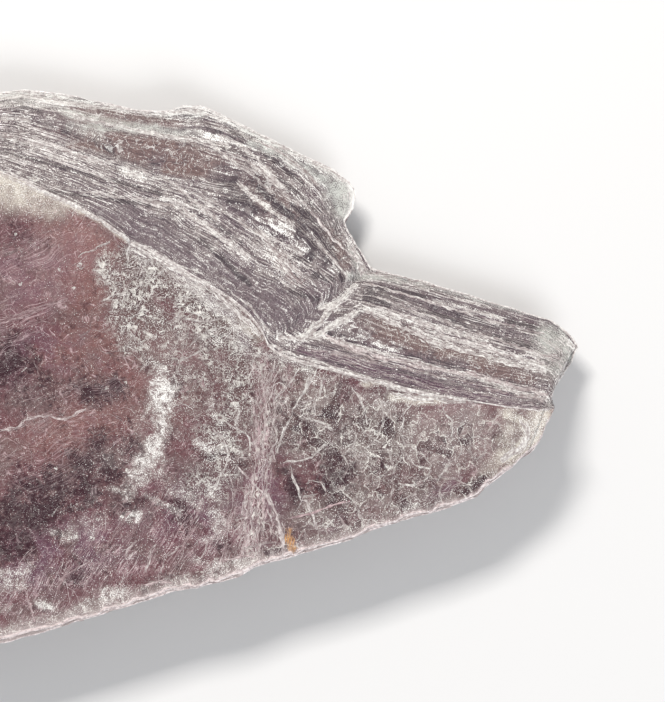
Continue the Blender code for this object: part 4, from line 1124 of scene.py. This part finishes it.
cracks = (
    (0.23, 1, 0.4, (-21.6, -8.1), (-20.4, -7.7), (-18.7, -7.3), (-18.1, -6.3), (-17, -6.1), (-15.6, -5.9),
     (-14.1, -5.9), (-13, -6.3), (-11.6, -6), (-10.4, -5.4), (-9.3, -4.9)),
    (0.23, 1, 0.2, (-22.1, -7.9), (-20.7, -8), (-19.9, -7.9)),
    (0.17, 0.8, 0.4, (-20.4, -8), (-19, -7.4), (-18, -7)),
    (0.2, 0.8, 0.8, (-23, 7), (-21.6, 7.4), (-18.7, 8.1), (-15.9, 9.3), (-13.7, 10.3), (-11.9, 10.9)),
    (0.17, 0.8, 0.8, (-22.7, 7.7), (-18, 8.9), (-15.1, 9.9), (-12.1, 10.7)),
    (0.14, 0.6, 0.7, (-18.7, 8.1), (-16.7, 7.6), (-13.6, 7.4)),
    (0.17, 0.7, 0.8, (-22.4, 9.9), (-20.4, 10.9), (-19, 11.4)),
    (0.14, 0.6, 0.5, (-7.6, 4.3), (-6.9, 3.3), (-5.9, 3), (-4.4, 3.6)),
    (0.14, 0.5, 0.5, (-8.7, 9.6), (-8.4, 8.1), (-8.9, 6.4), (-10.1, 5.4)),
    (0.14, 0.5, 0.4, (-21.6, 16.7), (-19.9, 17.6), (-18.1, 17.9)),
    (0.14, 0.5, 0.3, (-18.7, 18.9), (-17, 19), (-15.9, 18.1)),
    (0.2, 0.9, 0, (-10.4, 16.9), (-9.3, 17.6), (-7.9, 17.9), (-6.7, 18.6), (-5.9, 19.1)),
    (0.17, 0.8, 0, (-9, 15.3), (-7.6, 15), (-6.4, 14.1)), (0.2, 0.8, 0.2, (-18.7, 0.3), (-17.7, 1)),
    (0.14, 0.6, 0.4, (-16.9, 1.9), (-16.1, 1), (-15.9, -0.4)),
    (0.13, 0.5, 0.4, (-18.7, 4.3), (-17.3, 3.6), (-16.1, 2.1)),
    (0.13, 0.5, 0.4, (-19.9, -3.3), (-18.7, -3), (-18.3, -1.9), (-18.4, -0.7)),
    (0.14, 0.5, 0.6, (-20.1, -15.3), (-18.4, -16.1), (-17, -17)),
    (0.14, 0.9, 0, (-14.1, -20.1), (-13, -18.7)),
    (0.2, 0.9, 0.7, (-18.6, -29.3), (-17.9, -31), (-17.3, -33), (-16.7, -35.3)),
    (0.17, 0.8, 0.8, (-13.7, -31.3), (-12.7, -29.3), (-11.3, -27.9), (-8.7, -26.9)),
    (0.17, 0.7, 0.8, (-9.9, -31), (-7.3, -26.4), (-4.7, -22.1), (-3, -19.6)),
    (0.23, 0.9, 0.3, (-4.4, -27.1), (-3.3, -25), (-2, -23.7)),
    (0.2, 0.9, 0.3, (-0.9, -28.4), (-0.1, -25.7), (0.7, -24.1)),
    (0.2, 0.9, 0.4, (1, -28.9), (2.1, -26.1), (3.6, -24.9), (5.4, -24.1)),
    (0.17, 0.8, 0.8, (3, -27.3), (4.6, -24.3), (5.9, -21.9)),
    (0.23, 1, 0.6, (-2.4, -30.7), (-0.9, -30), (1.3, -29.6), (3, -29.7)),
    (0.23, 1, 0.6, (10.1, -26.7), (12.1, -26.1), (14.7, -25.9)),
    (0.2, 1, 0.2, (7, -26.4), (7.7, -25), (8, -23.7)),
    (0.23, 0.9, 0.5, (12.7, -26.7), (13.6, -22.1), (14.1, -18.6), (14.7, -15.7)),
    (0.17, 0.8, 0.3, (11.6, -20.7), (12.1, -18.6), (11.7, -15.7), (11.3, -14.3)),
    (0.29, 1, 0.3, (12.1, -12.4), (12.7, -13.6), (14.1, -15), (15.3, -16.1), (16.7, -17.9), (17.9, -20),
     (18.7, -23.6), (19, -25.9)),
    (0.34, 1, 0.2, (17.6, -19), (18.4, -21.3), (19, -24.3)),
    (0.17, 0.9, 0.2, (14.7, -22.7), (15, -24.3), (16.7, -24), (17.9, -23.9)),
    (0.31, 1, 0, (8.7, -7.7), (10.1, -8.7), (10.9, -10.7), (11.1, -12.1), (10.4, -13.6), (9.6, -15),
     (8.9, -16.7)),
    (0.23, 1, 0, (10.7, -6.6), (12.1, -7.6), (13.3, -8.1), (14.1, -9.3), (14.1, -10.6)),
    (0.17, 0.9, 0, (11, -9.6), (13, -9.4)), (0.17, 0.8, 0.2, (11, -11.9), (12.7, -11.7), (13.9, -11.9)),
    (0.2, 0.9, 0.4, (14.4, -3), (15.1, -7.9), (14.9, -13.6), (14.4, -17.9)),
    (0.2, 0.9, 0.4, (15.9, -0.4), (16.4, -5), (15.9, -10.7), (16.6, -15.3), (15.9, -20.7)),
    (0.2, 1, 0.2, (16.7, -6.1), (17.9, -7.1), (17.9, -9.3), (17, -11.4), (16.1, -11.6), (15.9, -9.3),
     (16.4, -7.1), (16.7, -6.1)),
    (0.17, 0.9, 0.3, (17.3, -2.9), (17.9, -5.3), (17, -9.3), (17.7, -12.4)),
    (0.2, 0.9, 0.2, (18, 2.6), (17.3, 0.4), (16.7, -1.9), (15.9, -3)),
    (0.17, 0.8, 0.1, (13.6, 2.1), (14.1, -0.7), (13.6, -3.6)),
    (0.2, 1, 0, (12.3, -3.3), (12.7, -5), (12.1, -7)),
    (0.23, 1, 0, (23.9, 1.1), (22.1, -2), (20.4, -4.9), (19.1, -8), (17.9, -11.1)),
    (0.2, 0.9, 0, (21.4, 1), (19.6, -1.4), (17.7, -3.4)),
    (0.2, 0.9, 0.1, (20.4, -4.9), (21.3, -3.9), (23.4, -3.6), (23.4, -5.6), (22.3, -6.1)),
    (0.2, 1, 0, (20.4, -5.9), (22.3, -6.1), (24.7, -7), (26, -8)),
    (0.2, 1, 0, (26.1, -9), (24.4, -10.3), (23.1, -11.7), (21.3, -12.3), (19.7, -12.3), (18.9, -12.6)),
    (0.29, 1, 0, (19.9, -12.6), (20.3, -14.3), (21, -16.4), (21.4, -17.9)),
    (0.29, 1, 0.1, (21.4, -17.9), (22.3, -17.9), (22.9, -19.9), (23.7, -22.1)),
    (0.17, 0.9, 0, (22.1, -15.6), (23, -15), (24.4, -15.3), (25, -16.7)),
    (0.17, 0.9, 0, (21.7, -17.4), (23.9, -17)),
    (0.34, 1, 0.9, (19.6, -20.7), (23.1, -19.7), (26, -18.6), (28.4, -18)),
    (0.26, 1, 0, (28.7, -1.6), (29.6, -2.9), (30.4, -4.7), (30.9, -7.1)),
    (0.17, 0.8, 0, (28.4, -2.7), (29, -4.7)),
    (0.2, 0.9, 0, (33, -3.6), (33.3, -5), (33.1, -7.1), (32.1, -9.3), (30.7, -10.4)),
    (0.2, 0.9, 0, (30.1, -7.6), (31.6, -8.9), (32.7, -9.7)),
    (0.17, 0.9, 0, (35.6, -7.9), (36.3, -10), (38.4, -11), (40, -13.1)),
    (0.2, 1, 0, (36.1, -10.9), (38.1, -13.3), (40, -13.3)),
    (0.23, 1, 0, (37.4, -3.7), (36.1, -5.7), (35.7, -8.1)),
    (0.2, 0.9, 0, (41.6, -3.6), (41.9, -5.6), (43, -6.4), (43, -9.3)),
    (0.17, 0.8, 0.1, (31.6, -10.7), (34.1, -10.7), (34.6, -13.6), (34.4, -16.4), (33.9, -19)),
    (0.26, 1, 0.1, (28.9, -17.6), (29.6, -19.3), (30.4, -21.7)),
    (0.17, 0.8, 0.1, (29, -11.9), (30.7, -11.3)),
    (0.2, 0.8, 0.2, (42.1, -14.4), (41.3, -16.7), (40.4, -19)),
    (0.17, 0.8, 0.1, (42.1, -14.4), (44.1, -15), (46.4, -17)),
    (0.23, 0.9, 0, (35.3, -15.3), (37.3, -15.9), (39.3, -15), (40.1, -13.6)),
    (0.23, 0.9, 0.1, (34.9, -18.4), (36.4, -17.4), (37.9, -16.9)),
    (0.17, 0.8, 0, (18.9, -0.4), (19.9, 0.1), (20.7, -0.7), (19.9, -1.7), (18.9, -1.3), (18.9, -0.4)),
    (0.17, 0.9, 0, (23, 1), (22.1, -1.6), (21.1, -3.9)), (0.2, 0.9, 0, (25, 0.7), (24.4, -1.4), (24, -3.3)),
    (0.17, 0.8, 0, (28.1, -6.4), (29.3, -8.6), (28.7, -11), (29.6, -12.4)),
    (0.17, 0.8, 0, (45.6, -9.3), (46.7, -8.7), (47.9, -9.6), (47.6, -11.4), (46.4, -12.1), (45.6, -11),
     (45.6, -9.3)),
    (0.17, 0.8, 0, (43.4, -7.6), (44.4, -10), (43.9, -12.1)),
    (0.17, 0.8, 0.2, (22, -22.1), (23, -21.9), (23.9, -22.4), (23.6, -23.9), (22.4, -24), (22, -22.1)),
    (0.17, 0.8, 0.2, (23.9, -22.4), (25, -22.1), (25.6, -23), (24.4, -24.3)),
    (0.2, 0.8, 0.3, (26.3, -19.6), (27.4, -20.7), (28, -23)),
    (0.17, 0.8, 0.2, (27.7, -23.3), (28.9, -22.1), (30.4, -21.9)),
    (0.17, 0.7, 0.1, (27, -10.1), (28.1, -12.4), (27.6, -14.7)),
    (0.23, 0.9, 0, (-2.4, 19.1), (-0.1, 17.6), (3, 16), (6.4, 14.9), (11.3, 11.9), (14.1, 9.9),
     (16.4, 6.7)),
    (0.17, 0.9, 0, (-2.3, 18.1), (0.1, 16.7), (2.1, 15), (4.4, 12.9)),
    (0.17, 0.9, 0, (7.7, 12.4), (10.4, 10.7), (12.7, 8.1), (14.4, 5.3)),
    (0.2, 0.9, 0, (11.3, 10.7), (13.6, 8.7), (15.3, 5.9)),
    (0.23, 1, 0, (-2.9, 18.9), (-3.3, 17.6), (-3.3, 16.1)), (0.26, 1, 0, (7.7, 6.4), (10.7, 6.9)),
    (0.2, 0.9, 0, (-3.6, 11.9), (-1.6, 12.7), (1, 14.1), (2.1, 15.3)),
    (0.2, 0.9, 0, (-7.6, 9.9), (-5.9, 11.3), (-3.3, 11.6)),
    (0.17, 0.9, 0, (-3.3, 5.9), (-2.1, 5.3), (-1, 3.9)), (0.17, 0.8, 0, (2.7, 10.6), (5, 11), (7.6, 10.7)),
    (0.2, 0.9, 0, (4.4, 8.1), (7.6, 7.6), (11, 8.1), (12.1, 6.7)),
    (0.17, 0.8, 0, (5.3, 3.9), (6.4, 5.3), (7.9, 5.9)),
    (0.17, 0.8, 0, (3.6, 1.9), (5.3, 2.6), (7, 3.3), (9, 3.6)),
)

# bright grains: place and radius in mm

grains = (
    (-10, 15.6, 0.51), (-13.1, 15.1, 0.23), (-18.6, 13, 0.29), (-11, 12.4, 0.29), (-19.3, 20.1, 0.2),
    (-13.6, -13.4, 0.26), (-6.4, 14.1, 0.23), (-6.3, -1.9, 0.26), (-3.6, -1.1, 0.23), (-7.6, -20.6, 0.26),
    (-10.6, -23.1, 0.29), (-8.4, -23.4, 0.37), (-16.7, 28.1, 0.57), (-2.7, 29, 0.71), (6.3, 15, 0.43),
    (5.6, 27.4, 0.29), (-10.9, 37.4, 0.57), (-18.1, 36.6, 0.57), (15.1, 13.1, 0.23), (19.6, 16.1, 0.71),
    (18.6, 14.7, 0.57), (23.1, 24.9, 0.37), (-15, -33, 0.51), (-15.1, 37, 0.37), (18.1, 23, 0.23),
    (12.7, 33, 0.43), (9, 32.4, 0.29), (27.4, 5.4, 0.29), (-4.7, 14.4, 0.29), (21.3, -13, 0.2),
    (25.6, -7.6, 0.23), (33.9, -1.9, 0.29), (10.7, 32.7, 0.29), (-0.1, 35, 0.43), (-3.4, -13.6, 0.29),
    (13.1, -11.4, 0.2), (14.1, -11.4, 0.2), (-11.7, 27.3, 0.29), (-8.3, 26, 0.29), (-18.4, 31.1, 0.29),
)

# edges of the flank's ledges, as bundles of pale slivers: partly a painted highlight where the ledges catch
# the light

ledgeEdges = (
    (((30.3, 13.4), (41, 10.2), (49, 7.6), (56.6, 5.9)), 0.2, 0.16, 3.6, 0.85, 0.1),
    (((32.3, 11.3), (45, 6.6), (52, 4.2), (59.9, 1.9)), 0.2, 0.18, 3.4, 0.8, 0.1),
    (((30.3, 9.4), (34.4, 7.6), (40.7, 4.6), (48, 2.6), (56.6, 0.4)), 0.22, 0.34, 9, 1, 0),
    (((32, 9.7), (36.4, 8.4), (42, 6), (49, 3.6), (56.4, 1.6)), 0.22, 0.22, 4, 0.95, 0.1),
    (((24.1, 6.3), (29, 3.4), (34.6, 2.1), (40, 1), (46.4, -0.1), (56.6, -2.9)), 0.26, 0.3, 5, 0.9, 0.3),
    (((21.1, 3.9), (28, 2.6), (36.3, 0.9), (46, -1.4), (56.1, -3.6)), 0.16, 0.2, 2.6, 0.7, 0.4),
    (((23, 3.2), (28, 1.8), (36, -0.4), (43, -2.2), (50, -3.7), (56, -4.8)), 0.09, 0.6, 8, 0.9, 0.3),
    (((16.6, 4.4), (21.1, 2.6), (30, -0.1), (37.7, -2.6), (45, -3.6)), 0.26, 0.22, 5, 0.95, 0),
    (((28.4, 11.9), (26, 9.6), (23.6, 7), (21.3, 5)), 0.24, 0.45, 11, 1, 0),
    (((30.3, 9.4), (27.4, 7.8), (24.8, 6.4), (23.2, 5.7)), 0.22, 0.38, 10, 1, 0),
    (((22.7, 23.6), (26, 19.6), (29.4, 16.6), (32, 15)), 0.22, 0.12, 4, 1, 0.2),
    (((-21.4, 29.4), (-16, 26.6), (-10, 23.7), (-5, 20.6), (-2.6, 18.6)), 0.26, 0.14, 5, 1, 0),
    (((-2.6, 18.6), (3, 15.4), (8, 12.8), (12.6, 8.8), (15.6, 5.8)), 0.26, 0.3, 6, 0.95, 0),
    (((4, 27.4), (9, 24.6), (15, 20.6), (21, 14.4)), 0.22, 0.3, 3.4, 0.85, 0),
    (((-14, 26.6), (-4, 25.4), (3, 24.4), (9, 21), (14, 17)), 0.2, 0.35, 3.2, 0.8, 0),
)

linework = {
    "length": (0.5, 2.6), "widths": (0.5, 1.25), "crests": (0.2, 0.5), "tones": (0.45, 1.15), "steepest": 1.2,
    "crackWidth": 0.68, "crackSpread": 0.10, "crackDensity": 4.4,      # the width as a share of the drawn one
    "brightWidth": 0.16, "brightSpread": 0.6, "brightDensity": (3.4, 8.0),
    "heap": 26, "heapLength": (0.3, 0.7), "heapWidth": (0.09, 0.20), "heapCurl": 60, "heapSteepest": 2.0,
}


def lineBatch(dice, row, steps=5):
    line, width, spread, density, tone, pink = row
    line = np.array(line)
    lengths = runLength(line)
    count = max(2, int(lengths[-1] * density))
    reach = dice.uniform(*linework["length"], count)
    start = dice.uniform(-0.3, lengths[-1] - 0.3, count)
    along = np.clip(start[:, None] + reach[:, None] * np.linspace(0.0, 1.0, steps), 0.0, lengths[-1])
    along = along + 0.02 * np.arange(steps)
    paths = np.stack([np.interp(along, lengths, line[:, axis]) for axis in (0, 1)], axis=-1)
    ahead = unit(np.gradient(paths, axis=1))
    side = np.stack([-ahead[..., 1], ahead[..., 0]], axis=-1)
    sway = 0.16 * cloud(along * 1.3, 0.0 * along + lengths[-1], 61)
    sway = sway + 0.08 * cloud(along * 4.0, 0.0 * along + width, 67)
    stray = spread * dice.normal(0.0, 0.7, (count, 1)) + 0.04 * dice.normal(0.0, 1.0, (count, steps))
    paths, keep = drape.lay(paths + side * (sway + stray)[..., None], linework["steepest"])
    widths = (width * dice.uniform(*linework["widths"], count))[keep]
    tones = np.clip(tone * dice.uniform(*linework["tones"], len(widths)), 0.0, 1.0)
    rings = slivers(paths, widths, widths * dice.uniform(*linework["crests"], len(widths)))
    return rings, tones, np.full(len(widths), pink)


def crackBatch(dice, row):
    width, tone, pink, *line = row
    width = linework["crackWidth"] * width
    return lineBatch(dice, (line, width, linework["crackSpread"], linework["crackDensity"], tone, pink))


# the pale lines stand partly for a painted highlight on the sheet edges
def brightBatch(dice, row):                   # thin lines along the bright bands of the flank
    half, strength, *line = row
    least, more = linework["brightDensity"]
    spread = linework["brightSpread"] * half
    return lineBatch(dice, (line, linework["brightWidth"], spread, least + more * half, strength, 0.0), 4)


def grainBatch(dice):                         # little heaps of short slivers
    places = np.repeat(np.array(grains), linework["heap"], axis=0)
    count = len(places)
    way, out = dice.random(count) * 2.0 * math.pi, places[:, 2] * dice.random(count) ** 0.7
    starts = places[:, :2] + out[:, None] * np.stack([np.cos(way), np.sin(way)], axis=-1)
    lengths = places[:, 2] * dice.uniform(*linework["heapLength"], count)
    paths = grown(dice, starts, lengths, dice.uniform(0.0, 360.0, count), linework["heapCurl"], 3)
    paths, keep = drape.lay(paths, linework["heapSteepest"])
    widths = dice.uniform(*linework["heapWidth"], count)[keep]
    return slivers(paths, widths, widths * 0.5), np.ones(len(widths)), np.zeros(len(widths))


splinters = {
    # where on the ring, how many, stations covered, width in mm, tone
    "flank_splinters": (
        ("flank", 2300, (4, 20), (0.05, 0.15), (0.6, 1.0)),
        ("rim", 900, (3, 9), (0.09, 0.22), (0.6, 1.0)),
        # bright splinters on the back edge: partly a painted highlight where the layered edge catches the
        # light
        ("brow", 380, (3, 9), (0.10, 0.24), (0.8, 1.0)),
    ),
    "flank_chips": (("flank", 8000, (0.5, 1.4), (0.10, 0.22), (0.8, 1.0)),),
    "side_splinters": (
        ("back", 1700, (3, 16), (0.06, 0.18), (0.4, 0.9)),
        ("over", 2600, (3, 16), (0.06, 0.2), (0.4, 0.9)),
        # bright pinkish splinters on the front edge: painted glow of light through the thin edge
        ("front", 800, (3, 9), (0.12, 0.26), (0.9, 1.0)),
    ),
}
ringSpans = {                                 # columns of the ring: from one part's first column to another's
    "back": ("back", 1, "flank", -1), "flank": ("flank", 1, "face", -1), "over": ("front", 1, "end", -2),
    "rim": ("face", -1.6, "face", 0.4), "brow": ("flank", -0.6, "flank", 0.7),
    "front": ("front", -3.6, "front", 0.6),
}


def flankCover(clumped, x, y):                # more in the bright bands, few on quiet, dark or bare places
    quiet = np.maximum(blots("quiet", x, y), 0.6 * blots("shade", x, y))
    bare = np.maximum(blots("bare", x, y), blots("band", x, y) * 0.1)
    return clumped + 0.35 * blots("bright", x, y) - 1.5 * quiet - 1.6 * bare


def onBook(at, across):                       # points between the corners of the book's grid, and the way out
    i, j = at.astype(int), across.astype(int)
    u, v = (at - i)[..., None], (across - j)[..., None]
    near, far = (bookPoints[i, k] * (1 - u) + bookPoints[i + 1, k] * u for k in (j, j + 1))
    outward = np.cross(bookPoints[i, j + 1] - bookPoints[i, j], bookPoints[i + 1, j] - bookPoints[i, j])
    return near * (1 - v) + far * v, -unit(outward)


def splinterBatch(dice, row):
    place, count, reach, width, tone = row
    first, shift, last, trim = ringSpans[place]
    ring = dice.uniform(firstColumns[first] + shift, firstColumns[last] + trim, count)
    cover = dice.uniform(*reach, count)
    start = dice.uniform(1.0, len(stations) - 2.0 - cover)
    x, y = bookPoints[start.astype(int), ring.astype(int), :2].T
    clumped = 0.8 * clouds(x / 1.7, y / 1.7, 91) + 0.8 * clouds(x / 5.0, y / 5.0, 95)
    clumped = clumped + dice.uniform(-0.7, 0.7, count)
    if place == "flank":
        keep = flankCover(clumped, x - planShift[0], y - planShift[1]) > 0.1
        ring, cover, start = ring[keep], cover[keep], start[keep]
    count = len(ring)
    at = start[:, None] + cover[:, None] * np.linspace(0.0, 1.0, 4 if reach[1] > 9 else 3)
    paths, outward = onBook(at, np.broadcast_to(ring[:, None], at.shape))
    if place in ("back", "over"):
        outward = unit(outward * np.array((1.0, 1.0, 0.15)))
    else:
        outward = unit(outward * 0.4 + np.array((0.0, 0.0, 0.7)))
    widths = dice.uniform(*width, count)
    rings = slivers(paths, widths, widths * dice.uniform(0.15, 0.4, count), outward)
    return rings, dice.uniform(*tone, count), np.full(count, 0.4 if place == "front" else 0.1)


drape = Drape(crystalBook)
fibreLook = fibreMaterial()
for seed, (name, (steps, *rows)) in enumerate(fibres.items(), 11):
    dice = np.random.default_rng(seed)
    makeSlivers(name, [fibreBatch(dice, row, steps) for row in rows])
dice = np.random.default_rng(31)
makeSlivers("crack_lips", [crackBatch(dice, row) for row in cracks])
makeSlivers("fibre_bundles", [lineBatch(dice, row) for row in bundles])
makeSlivers("bright_grains", [grainBatch(dice)])
makeSlivers("ledge_edges", [lineBatch(dice, row) for row in ledgeEdges])
# pale slivers along the bright bands, partly a painted highlight on the sheet edges
makeSlivers("bright_lines", [brightBatch(dice, row) for row in strips["bright"]])
for seed, (name, rows) in enumerate(splinters.items(), 41):
    dice = np.random.default_rng(seed)
    makeSlivers(name, [splinterBatch(dice, row) for row in rows])


# floor, light and camera

stage = {
    "floorSize": 1.6, "floorColour": (0.72, 0.71, 0.70), "floorRoughness": 0.8,
    "camera": (26.2, 3.5), "height": 0.65, "seenAcross": 0.1003,        # place in mm, the rest in m
    "sky": (0.8, 0.82, 0.85), "skyStrength": 0.42,
    # place, aim, size, power, colour
    "lamps": {
        "key": ((-0.15, 0.44, 0.50), (0.01, 0.0, 0.0), (0.25, 0.12), 4.5, (1.0, 0.98, 0.95)),
        "fill": ((0.4, -0.5, 0.5), (0.0, 0.0, 0.0), (0.5, 0.5), 4.2, (0.95, 0.97, 1.0)),
    },
}


def makeFloor():
    half = stage["floorSize"] / 2
    mesh = bpy.data.meshes.new("floor")
    floor = linked("floor", mesh)
    corners = [(-half, -half, 0), (half, -half, 0), (half, half, 0), (-half, half, 0)]
    mesh.from_pydata(corners, [], [(0, 1, 2, 3)])
    material = bpy.data.materials.new("pale_floor")
    material.use_nodes = True
    inputs = material.node_tree.nodes["Principled BSDF"].inputs
    inputs["Base Color"].default_value = (*stage["floorColour"], 1)
    inputs["Roughness"].default_value = stage["floorRoughness"]
    mesh.materials.append(material)


def addLamp(name, place, aim, size, power, colour):
    data = bpy.data.lights.new(name, "AREA")
    data.shape = "RECTANGLE"
    data.size, data.size_y = size
    data.energy = power
    data.color = colour
    lamp = linked(name, data)
    lamp.location = place
    lamp.rotation_euler = (Vector(aim) - Vector(place)).to_track_quat("-Z", "Y").to_euler()


def makeCamera():
    data = bpy.data.cameras.new("camera")
    data.lens = data.sensor_width * stage["height"] / stage["seenAcross"]
    data.clip_start = 0.01
    camera = linked("camera", data)
    x, y = stage["camera"]
    camera.location = (x * mm, y * mm, stage["height"] + book["rimHeight"] * mm)
    bpy.context.scene.camera = camera


def lightSky():
    world = bpy.data.worlds.new("studio")
    world.use_nodes = True
    inputs = world.node_tree.nodes["Background"].inputs
    inputs["Color"].default_value = (*stage["sky"], 1)
    inputs["Strength"].default_value = stage["skyStrength"]
    bpy.context.scene.world = world


makeFloor()
for name, settings in stage["lamps"].items():
    addLamp(name, *settings)
makeCamera()
lightSky()
bpy.context.scene.view_settings.view_transform = "Standard"
print("floor, lights and camera placed")
